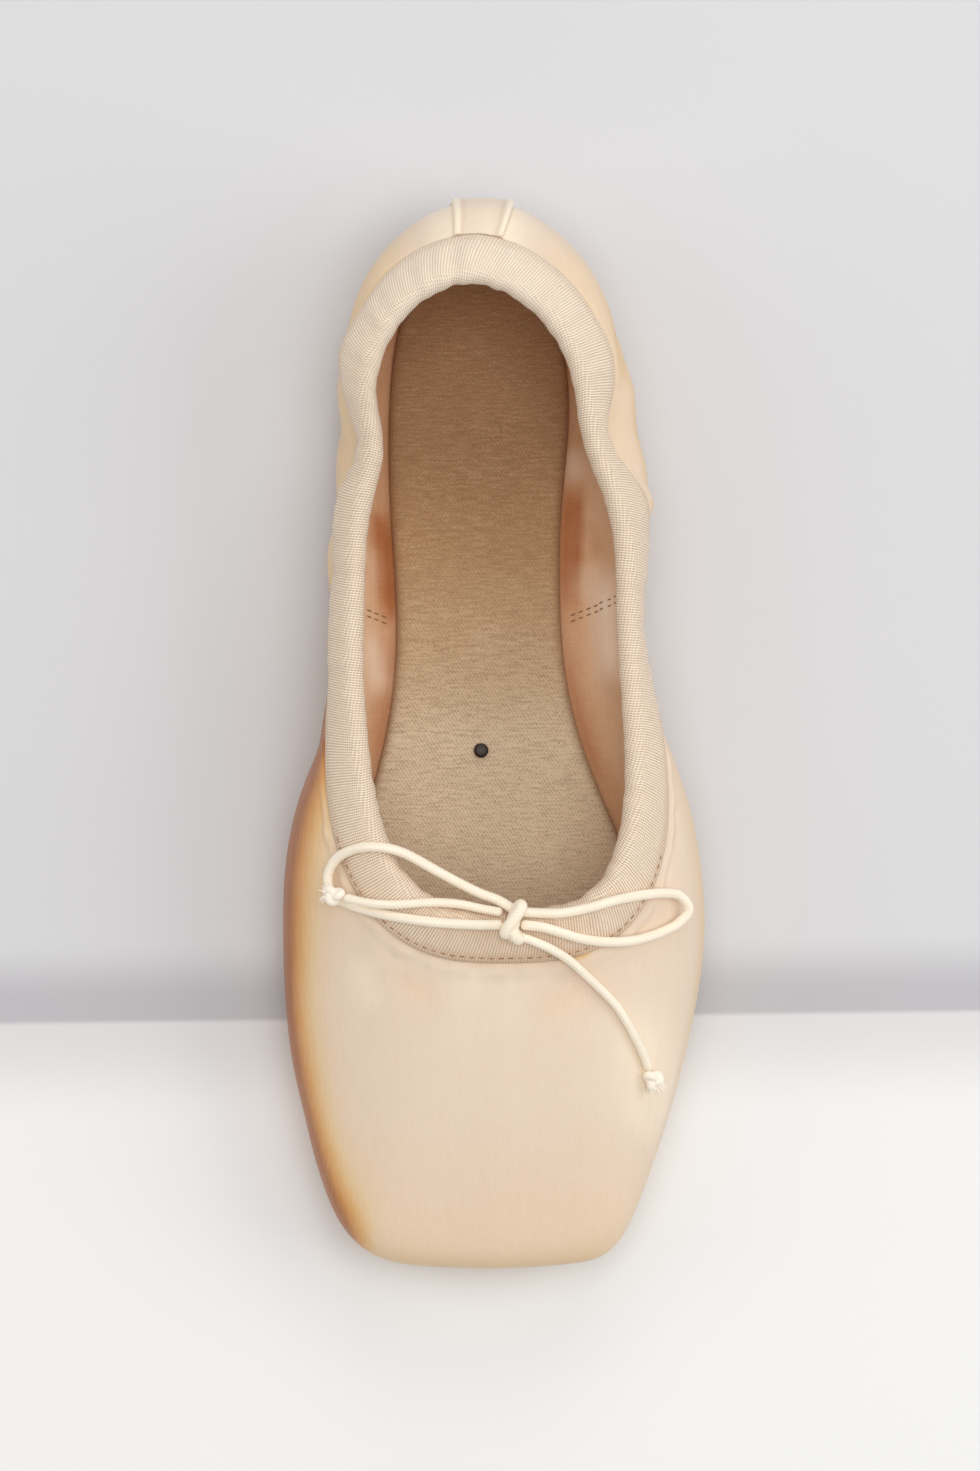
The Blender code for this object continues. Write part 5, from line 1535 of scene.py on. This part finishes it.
def buildOutsole():
    outline = outlineOf(outsoleLine, 0, 1200)
    first = outline[:, 1].min() + 0.0002
    last = outline[:, 1].max() - 0.0002
    ys = eased(first, last, outsole["rows"])
    right, left = edgesAt(outline, ys)
    rows = []
    edges = []
    thick = shoe["soleThickness"]
    for y, xr, xl in zip(ys, right, left):
        z = float(liftAt(np.array([y]))[0])
        cut = min(outsole["chamfer"], (xr - xl) * 0.2)
        ends = min(y - first, last - y)
        nose = cut * (1.0 - math.sqrt(max(0.0, 1.0 - (1.0 - min(ends / cut, 1.0)) ** 2)))
        corner = [(cut, 0.0), (cut * 0.5, cut * 0.13), (cut * 0.13, cut * 0.5), (0.0, cut)]
        row = [(xr - inset, z + rise + nose) for inset, rise in corner]
        row += [(xr, z + thick * 0.7), (xr - outsole["bevel"], z + thick)]
        row += [(xr + (xl - xr) * k, z + thick) for k in (0.25, 0.5, 0.75)]
        row += [(xl + outsole["bevel"], z + thick), (xl, z + thick * 0.7)]
        row += [(xl + inset, z + rise + nose) for inset, rise in corner[::-1]]
        shares = np.linspace(0.0, 1.0, 14)[1:-1]
        row += [(xl + cut + (xr - xl - 2.0 * cut) * k, z + nose) for k in shares]
        near = np.array([min(x - xl, xr - x) for x, _ in row])
        rim = np.exp(-(np.minimum(near, ends) / outsole["edgeReach"]) ** 2)
        rows.append([(x, y, h) for x, h in row])
        edges.append(np.clip(rim * outsole["edgeShade"], 0.0, 1.0))
    grid = np.array(rows) + shoe["middle"]
    piece = gridPiece("outsoleLeather", grid, (soleLeather,), tones={"edge": np.array(edges)}, closed=False,
                      sharp=50.0)
    settle(piece, "outsole")


buildOutsole()
print("outsole made")


# Bow of the drawstring

bow = {
    "diameter": shoe["cordDiameter"],
    "twistPitch": 0.0016,
    "tailShare": 0.90,        # the tails are drawn thinner than the loops
    "clearance": 0.0001,
    "lowest": 0.035,          # below this a cord has dropped into the opening and is held up by its neighbours
    "spacing": 0.0006,
    "pale": paint(255, 245, 226),
    "shade": paint(236, 214, 184),
    # each turn of the knot: middle right, along and up; reach along, rise, lean, thickness
    "knotTurns": (
        (0.0003, 0.0006, 0.0004, 0.0035, 0.0017, 0.50, 1.20),
        (0.0003, -0.0024, -0.0002, 0.0018, 0.0013, -0.70, 1.15),
        (0.0004, -0.0010, -0.0008, 0.0023, 0.0010, 0.05, 1.05),
    ),
    "knotSkew": 0.0003,
    "endKnotReach": (0.00074, 0.00056, 0.00052),   # along the cord, across it and up
    "endKnotThickness": 0.00098,
    "endKnotLobes": 1.6,
    "strands": 44,
    "strandRoot": (0.0009, 0.0006),                # past the middle of the knot and out from the cord
    "strandLength": (0.0014, 0.0026),
    "strandBend": 0.0004,
    "strandThickness": (0.00022, 0.00007),
}


def makeCordCloth(name, frayed=False):
    f = Finish(name, {"Roughness": 0.72, "Specular IOR Level": 0.3, "Sheen Weight": 0.3, "Sheen Roughness": 0.4})
    pitch = 1.0 / bow["twistPitch"] / bandsPerUnit
    twist = f.wave(f.clothPlace(turn=math.radians(30.0)), pitch * 2.0, 0.6, "X", 1.0, 2.0)
    strand = f.noise(f.clothPlace((120.0, 1500.0, 1.0)), 1.0, 2.0, 0.5)
    fuzz = f.noise(f.place(), 1300.0 if frayed else 1900.0, 3.0, 0.6)
    colour = f.layers(bow["pale"], (twist, 0.0, 0.8, 0.16, 0.0, bow["shade"]),
                      (strand, 0.35, 0.7, 0.30, 0.0, bow["shade"]))
    if frayed:
        colour = f.blend(0.6, colour, paint(252, 243, 230))
    colour = f.layers(colour, (fuzz, 0.5, 0.8, 0.0, 0.20, paint(255, 248, 236)))
    height = twist * 0.25 + strand * 0.5 + fuzz * (0.8 if frayed else 0.3)
    return f.finish(Base_Color=colour, Normal=f.bump(height, 0.00010, 0.5))


cordCloth = makeCordCloth("drawstring")
cordFray = makeCordCloth("drawstringEnds", True)


def treeOf(things):
    vertices = []
    faces = []
    for thing in things:
        base = len(vertices)
        vertices += [v.co.copy() for v in thing.data.vertices]
        faces += [tuple(base + k for k in p.vertices) for p in thing.data.polygons]
    return BVHTree.FromPolygons(vertices, faces)


shoeTree = treeOf((upperSkin, bindingPiece))


def restHeight(x, y, radius):
    # height of the centre of a ball that rests on the shoe at this place
    best = -1.0
    for ring in (0.0, 0.5, 0.85, 1.0):
        steps = 1 if ring == 0.0 else 12
        for k in range(steps):
            a = 2.0 * math.pi * k / steps
            r = radius * ring
            above = Vector((x + r * math.cos(a), y + r * math.sin(a), 0.2))
            hit = shoeTree.ray_cast(above, Vector((0.0, 0.0, -1.0)))[0]
            if hit is not None:
                best = max(best, hit.z + math.sqrt(max(0.0, radius * radius - r * r)))
    return best


def overCords(x, y, radius, under):
    best = -1.0
    reach = radius + bow["diameter"] * 0.5 + shoe["gap"] * 1.5
    for line in under:
        flat = (line[:, 0] - x) ** 2 + (line[:, 1] - y) ** 2
        for k in np.nonzero(flat < reach * reach)[0]:
            best = max(best, line[k, 2] + math.sqrt(reach * reach - flat[k]))
    return best


def denser(line):
    return spread(line, np.linspace(0.0, lengthOf(line), len(line) * 6))


def cordLine(route, under=(), crossesFrom=1.0):
    # the route in plan, then its height: on the shoe, on other cords or free over the opening
    diameter = bow["diameter"]
    plan = [(r * shoe["halfWidth"] + shoe["middle"][0], (a - 0.5) * shoe["length"] + shoe["middle"][1], c * diameter)
            for r, a, c in route]
    line = smoothLine(plan, diameter * 0.9)
    radius = diameter * 0.5
    under = [denser(u) for u in under]
    heights = []
    for k, (x, y, clear) in enumerate(line):
        height = restHeight(x, y, radius + bow["clearance"]) + clear
        if k >= crossesFrom * len(line):
            height = max(height, overCords(x, y, radius, under))
        heights.append(height)
    heights = np.array(heights)
    rest = heights.copy()
    index = np.arange(len(heights))
    good = heights > bow["lowest"]
    heights = np.interp(index, index[good], heights[good])
    for _ in range(10):
        soft = heights.copy()
        soft[1:-1] = 0.25 * heights[:-2] + 0.5 * heights[1:-1] + 0.25 * heights[2:]
        heights = np.maximum(soft, rest)
    line[:, 2] = heights
    return smoothLine(line[::2] if len(line) % 2 else np.vstack((line[::2], line[-1:])), bow["spacing"])


def buildCords():
    lines = {"loopLeft": cordLine(bowRoutes["loopLeft"])}
    lines["tailLeft"] = cordLine(bowRoutes["tailLeft"], (lines["loopLeft"],), 0.5)
    lines["loopRight"] = cordLine(bowRoutes["loopRight"])
    lines["tailRight"] = cordLine(bowRoutes["tailRight"])
    pieces = {}
    nodes = {"loopLeft": "loop_left", "tailLeft": "tail_left", "loopRight": "loop_right", "tailRight": "tail_right"}
    start = 0.0
    for name, line in lines.items():
        share = bow["tailShare"] if name.startswith("tail") else 1.0
        piece = tubePiece(name, line, bow["diameter"] * 0.5 * share, (cordCloth,), 16, start)
        start += 0.2
        pieces[name] = settle(piece, nodes[name])
    return lines, pieces


cordLines, cordPieces = buildCords()


def joinPieces(name, parts):
    # several meshes made one piece, each keeping its own material
    whole = bmesh.new()
    materials = []
    for part in parts:
        whole.from_mesh(part.data)
        for material in part.data.materials:
            if material not in materials:
                materials.append(material)
    mesh = bpy.data.meshes.new(name)
    whole.to_mesh(mesh)
    whole.free()
    mesh.shade_smooth()
    for part in parts:
        old = part.data
        bpy.data.objects.remove(part, do_unlink=True)
        bpy.data.meshes.remove(old)
    return addPiece(name, mesh, materials)


def buildBowKnot():
    # turns of the cord round the crossing
    low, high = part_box("bow_knot")
    centre = np.array((low + high) * 0.5)
    radius = bow["diameter"] * 0.5
    angle = np.linspace(0.0, 2.0 * math.pi, 49)[:-1]
    parts = []
    for k, (dx, dy, dz, reach, rise, lean, size) in enumerate(bow["knotTurns"]):
        along = np.array((math.sin(lean), math.cos(lean), 0.0))
        line = (centre + np.array((dx, dy, dz)) + along * (np.cos(angle) * reach)[:, None]
                + np.array((0.0, 0.0, 1.0)) * (np.sin(angle) * rise)[:, None]
                + np.array((1.0, 0.0, 0.0)) * (np.sin(angle * 2.0) * bow["knotSkew"])[:, None])
        parts.append(tubePiece("knotTurn" + str(k), line, radius * size, (cordCloth,), 14, 0.9 + 0.05 * k,
                               closed=True))
    return joinPieces("bowKnot", parts)


knotPiece = settle(buildBowKnot(), "bow_knot")


def buildEndKnot(name, node, line, seed):
    # an overhand knot drawn tight, with the cut end of the cord fraying out of it
    low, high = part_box(node)
    centre = np.array((low + high) * 0.5)
    run = unit(line[-1] - line[-6])
    up = np.array((0.0, 0.0, 1.0))
    up = unit(up - run * np.dot(up, run))
    side = np.cross(run, up)
    angle = np.linspace(0.0, 2.0 * math.pi, 73)[:-1]
    x = (np.sin(angle) + bow["endKnotLobes"] * np.sin(2.0 * angle)) * bow["endKnotReach"][0]
    y = (np.cos(angle) - bow["endKnotLobes"] * np.cos(2.0 * angle)) * bow["endKnotReach"][1]
    z = -np.sin(3.0 * angle) * bow["endKnotReach"][2]
    knot = centre + run * x[:, None] + side * y[:, None] + up * z[:, None]
    parts = [tubePiece(name + "Turns", knot, bow["endKnotThickness"], (cordFray,), 12, 1.2, closed=True)]
    ahead, out = bow["strandRoot"]
    rng = np.random.default_rng(seed)
    for _ in range(bow["strands"]):
        spin = rng.uniform(0.0, 2.0 * math.pi)
        wide = rng.uniform(0.1, 1.6)
        base = centre + run * ahead + (side * math.cos(spin) + up * math.sin(spin)) * out
        way = unit(run + (side * math.cos(spin) + up * 0.7 * math.sin(spin)) * wide)
        long = rng.uniform(*bow["strandLength"])
        bend = (side * rng.uniform(-1.0, 1.0) + up * rng.uniform(-0.3, 0.8)) * bow["strandBend"]
        points = [base, base + way * long * 0.5 + bend * 0.3, base + way * long + bend]
        strand = smoothLine(points, 0.00025)
        thin = np.linspace(*bow["strandThickness"], len(strand))
        parts.append(tubePiece(name + "Strand", strand, thin, (cordFray,), 5, 1.4))
    return joinPieces(name, parts)


for name, node, owner, seed in (("endKnotLeft", "end_knot_left", "tailLeft", 5),
                                ("endKnotRight", "end_knot_right", "tailRight", 9)):
    settle(buildEndKnot(name, node, cordLines[owner], seed), node)

for name, line in cordLines.items():
    print("cord", name, "is", round(lengthOf(line) * 1000.0, 1), "mm long")


# Stitches: a thread dips in and out along a line on a surface

stitches = {
    "throatPitch": 0.0021,
    "throatLength": 0.0013,
    "liningPitch": 0.0019,
    "liningLength": 0.0012,
    "liningHeight": 0.00005,
    "standOff": 0.0012,       # of the throat's guide line off the satin
    "thickness": 0.00034,
    "seed": 3,
}


def makeThread(name, colour):
    f = Finish(name, {"Roughness": 0.7, "Specular IOR Level": 0.3})
    twist = f.noise(f.place(), 2600.0, 2.0, 0.5)
    shade = f.blend(f.range(twist, 0.3, 0.7, 0.0, 0.5), colour, paint(120, 86, 58))
    return f.finish(Base_Color=shade, Normal=f.bump(twist, 0.00005, 0.6))


def stitchTree(name):
    # a row of stitches along a curve, laid on the nearest place of a surface
    tree = bpy.data.node_groups.new(name, "GeometryNodeTree")
    for label, kind in (("Geometry", "Geometry"), ("Surface", "Object"), ("Pitch", "Float"), ("Length", "Float"),
                        ("Thickness", "Float"), ("Height", "Float"), ("Seed", "Int"), ("Thread", "Material")):
        tree.interface.new_socket(label, in_out="INPUT", socket_type="NodeSocket" + kind)
    tree.interface.new_socket("Geometry", in_out="OUTPUT", socket_type="NodeSocketGeometry")
    nodes = tree.nodes
    links = tree.links

    def add(kind, values, **settings):
        made = nodes.new(kind)
        for key, value in settings.items():
            setattr(made, key, value)
        for key, value in values.items():
            if isinstance(value, bpy.types.NodeSocket):
                links.new(value, made.inputs[key])
            else:
                made.inputs[key].default_value = value
        return made

    given = nodes.new("NodeGroupInput").outputs
    even = add("GeometryNodeResampleCurve", {"Curve": given["Geometry"], "Length": given["Pitch"]}, mode="LENGTH")
    points = add("GeometryNodeCurveToPoints", {"Curve": even.outputs[0]}, mode="EVALUATED")
    surface = add("GeometryNodeObjectInfo", {"Object": given["Surface"]}, transform_space="RELATIVE")
    nearest = add("GeometryNodeProximity", {0: surface.outputs["Geometry"]}, target_element="FACES")
    slope = add("GeometryNodeSampleNearestSurface", {"Mesh": surface.outputs["Geometry"],
                                                     "Value": nodes.new("GeometryNodeInputNormal").outputs[0]},
                data_type="FLOAT_VECTOR")
    above = add("ShaderNodeVectorMath", {0: slope.outputs[0], "Scale": given["Height"]}, operation="SCALE")
    spot = add("ShaderNodeVectorMath", {0: nearest.outputs["Position"], 1: above.outputs[0]}, operation="ADD")
    seated = add("GeometryNodeSetPosition", {"Geometry": points.outputs["Points"], "Position": spot.outputs[0]})
    faceUp = add("FunctionNodeAlignRotationToVector", {"Vector": slope.outputs[0]}, axis="Z")
    facing = add("FunctionNodeAlignRotationToVector", {"Rotation": faceUp.outputs[0],
                                                       "Vector": points.outputs["Tangent"]}, axis="X", pivot_axis="Z")
    bead = add("GeometryNodeMeshUVSphere", {"Segments": 8, "Rings": 6, "Radius": 0.5})
    size = add("ShaderNodeCombineXYZ", {"X": given["Length"], "Y": given["Thickness"], "Z": given["Thickness"]})
    thread = add("GeometryNodeTransform", {"Geometry": bead.outputs["Mesh"], "Scale": size.outputs[0]})
    vary = add("FunctionNodeRandomValue", {2: 0.86, 3: 1.12, "Seed": given["Seed"]}, data_type="FLOAT")
    laid = add("GeometryNodeInstanceOnPoints", {"Points": seated.outputs[0], "Instance": thread.outputs[0],
                                                "Rotation": facing.outputs[0], "Scale": vary.outputs[1]})
    real = add("GeometryNodeRealizeInstances", {0: laid.outputs[0]})
    done = add("GeometryNodeSetMaterial", {"Geometry": real.outputs[0], "Material": given["Thread"]})
    links.new(done.outputs[0], nodes.new("NodeGroupOutput").inputs[0])
    return tree


stitchGroup = stitchTree("stitchRow")
stitchKeys = {item.name: item.identifier for item in stitchGroup.interface.items_tree if item.in_out == "INPUT"}


def stitchRow(name, line, surface, thread, pitch, length, height):
    data = bpy.data.curves.new(name + "Line", "CURVE")
    data.dimensions = "3D"
    spline = data.splines.new("POLY")
    spline.points.add(len(line) - 1)
    for point, place in zip(spline.points, line):
        point.co = (*place, 1.0)
    guide = bpy.data.objects.new(name + "Line", data)
    bpy.context.scene.collection.objects.link(guide)
    sewing = guide.modifiers.new("stitches", "NODES")
    sewing.node_group = stitchGroup
    for label, value in (("Surface", surface), ("Pitch", pitch), ("Length", length),
                         ("Thickness", stitches["thickness"]), ("Height", height), ("Seed", stitches["seed"]),
                         ("Thread", thread)):
        sewing[stitchKeys[label]] = value
    bpy.context.view_layer.update()
    graph = bpy.context.evaluated_depsgraph_get()
    mesh = bpy.data.meshes.new_from_object(guide.evaluated_get(graph), preserve_all_data_layers=True, depsgraph=graph)
    bpy.data.objects.remove(guide, do_unlink=True)
    mesh.name = name
    mesh.shade_smooth()
    return addPiece(name, mesh, () if mesh.materials else (thread,))


throatThread = makeThread("throatThread", paint(172, 132, 98))
liningThread = makeThread("liningThread", paint(168, 122, 90))


def bindingLine(start, stop, share, count=240):
    # a line on the outside of the binding at a share of its width
    place = np.interp(share, upper["outsideShares"], np.arange(outerBand))
    low = int(place)
    part = place - low
    band = outerRows[:, -outerBand:]
    ring = band[:, low] * (1.0 - part) + band[:, low + 1] * part
    ring += outerNormals[:, -outerBand + low] * stitches["standOff"]
    ring = np.concatenate((ring, ring[:1]))
    marks = np.linspace(start, stop, count) % 2.0
    return np.stack([np.interp(marks, np.append(around, 2.0), ring[:, c]) for c in range(3)], axis=1)


throatLine = bindingLine(-0.36, 0.34, 0.13)
throatStitches = stitchRow("throatStitches", throatLine, bindingPiece, throatThread, stitches["throatPitch"],
                           stitches["throatLength"], 0.0)
settle(throatStitches)


seamRows = []
for base, lean in ((0.529, 0.043), (1.471, -0.043)):
    for row in (-0.0024, 0.0024):
        points = np.array([wallPoint(innerRows, innerUp, base + lean * share + row, share)
                           for share in np.linspace(0.04, 0.98, 40)])
        seamRows.append(stitchRow("liningSeam" + str(len(seamRows)), points, upperSkin, liningThread,
                                  stitches["liningPitch"], stitches["liningLength"],
                                  stitches["liningHeight"]))
liningSeams = settle(joinPieces("liningSeams", seamRows))
print("stitches made:", len(throatStitches.data.polygons) + len(liningSeams.data.polygons), "faces")


# Studio: pale floor and soft light

studio = {
    "wall": paint(215, 215, 218),
    "wallFootShade": paint(190, 189, 193),
    "floor": paint(240, 240, 240),
    "floorSize": 3.0,
    "worldColour": (0.94, 0.945, 0.955, 1.0),
    "worldStrength": 0.36,
    # name, place, aim, size, power, colour
    "lights": (
        ("overhead", (0.05, 0.05, 1.55), (0.0, 0.0, 0.0), (0.9, 0.9), 9.4, (1.0, 0.99, 0.975)),
        ("rightSoftbox", (1.0, 0.05, 0.70), (0.0, 0.0, 0.03), (0.9, 0.9), 4.6, (1.0, 0.99, 0.97)),
        ("backSoftbox", (0.15, 1.1, 0.85), (0.0, 0.0, 0.03), (1.0, 0.7), 4.4, (1.0, 0.99, 0.97)),
        ("frontSoftbox", (-0.1, -1.1, 0.7), (0.0, 0.0, 0.03), (0.9, 0.6), 1.1, (1.0, 0.99, 0.98)),
        ("leftFill", (-1.0, 0.2, 0.6), (0.0, 0.0, 0.03), (0.8, 0.8), 2.3, (1.0, 0.95, 0.89)),
    ),
}


def buildFloor():
    size = studio["floorSize"]
    mesh = bpy.data.meshes.new("floor")
    mesh.from_pydata([(-size, -size, 0.0), (size, -size, 0.0), (size, size, 0.0), (-size, size, 0.0)], [],
                     [(0, 1, 2, 3)])
    f = Finish("floorPaint", {"Roughness": 0.95, "Specular IOR Level": 0.1})
    y = f.node("ShaderNodeSeparateXYZ", {}, {0: f.place()}, 1)
    grain = f.noise(f.place(), 3.0, 2.0, 0.5)
    # pale floor in front and a grey backdrop painted on it behind, with painted shade deepening towards the line
    # between them and darkest along the foot of the backdrop
    colour = f.layers(studio["floor"],
                      (y, -0.0885, -0.0655, 0.0, 1.0, paint(222, 221, 222)),
                      (y, -0.0655, -0.0640, 0.0, 1.0, studio["wallFootShade"]),
                      (y, -0.060, -0.046, 0.0, 1.0, studio["wall"]),
                      (grain, 0.4, 0.6, 0.0, 0.02, paint(232, 232, 234)))
    addPiece("floor", mesh, (f.finish(Base_Color=colour),))


buildFloor()


def areaLight(name, place, aim, size, power, colour):
    light = bpy.data.lights.new(name, "AREA")
    light.shape = "RECTANGLE"
    light.size, light.size_y = size
    light.energy = power
    light.color = colour
    lamp = bpy.data.objects.new(name, light)
    bpy.context.scene.collection.objects.link(lamp)
    lamp.location = place
    way = Vector(aim) - Vector(place)
    lamp.rotation_euler = way.to_track_quat("-Z", "Y").to_euler()


for row in studio["lights"]:
    areaLight(*row)

world = bpy.data.worlds.new("studio")
bpy.context.scene.world = world
world.use_nodes = True
backdrop = world.node_tree.nodes["Background"].inputs
backdrop["Color"].default_value = studio["worldColour"]
backdrop["Strength"].default_value = studio["worldStrength"]
print("studio made")
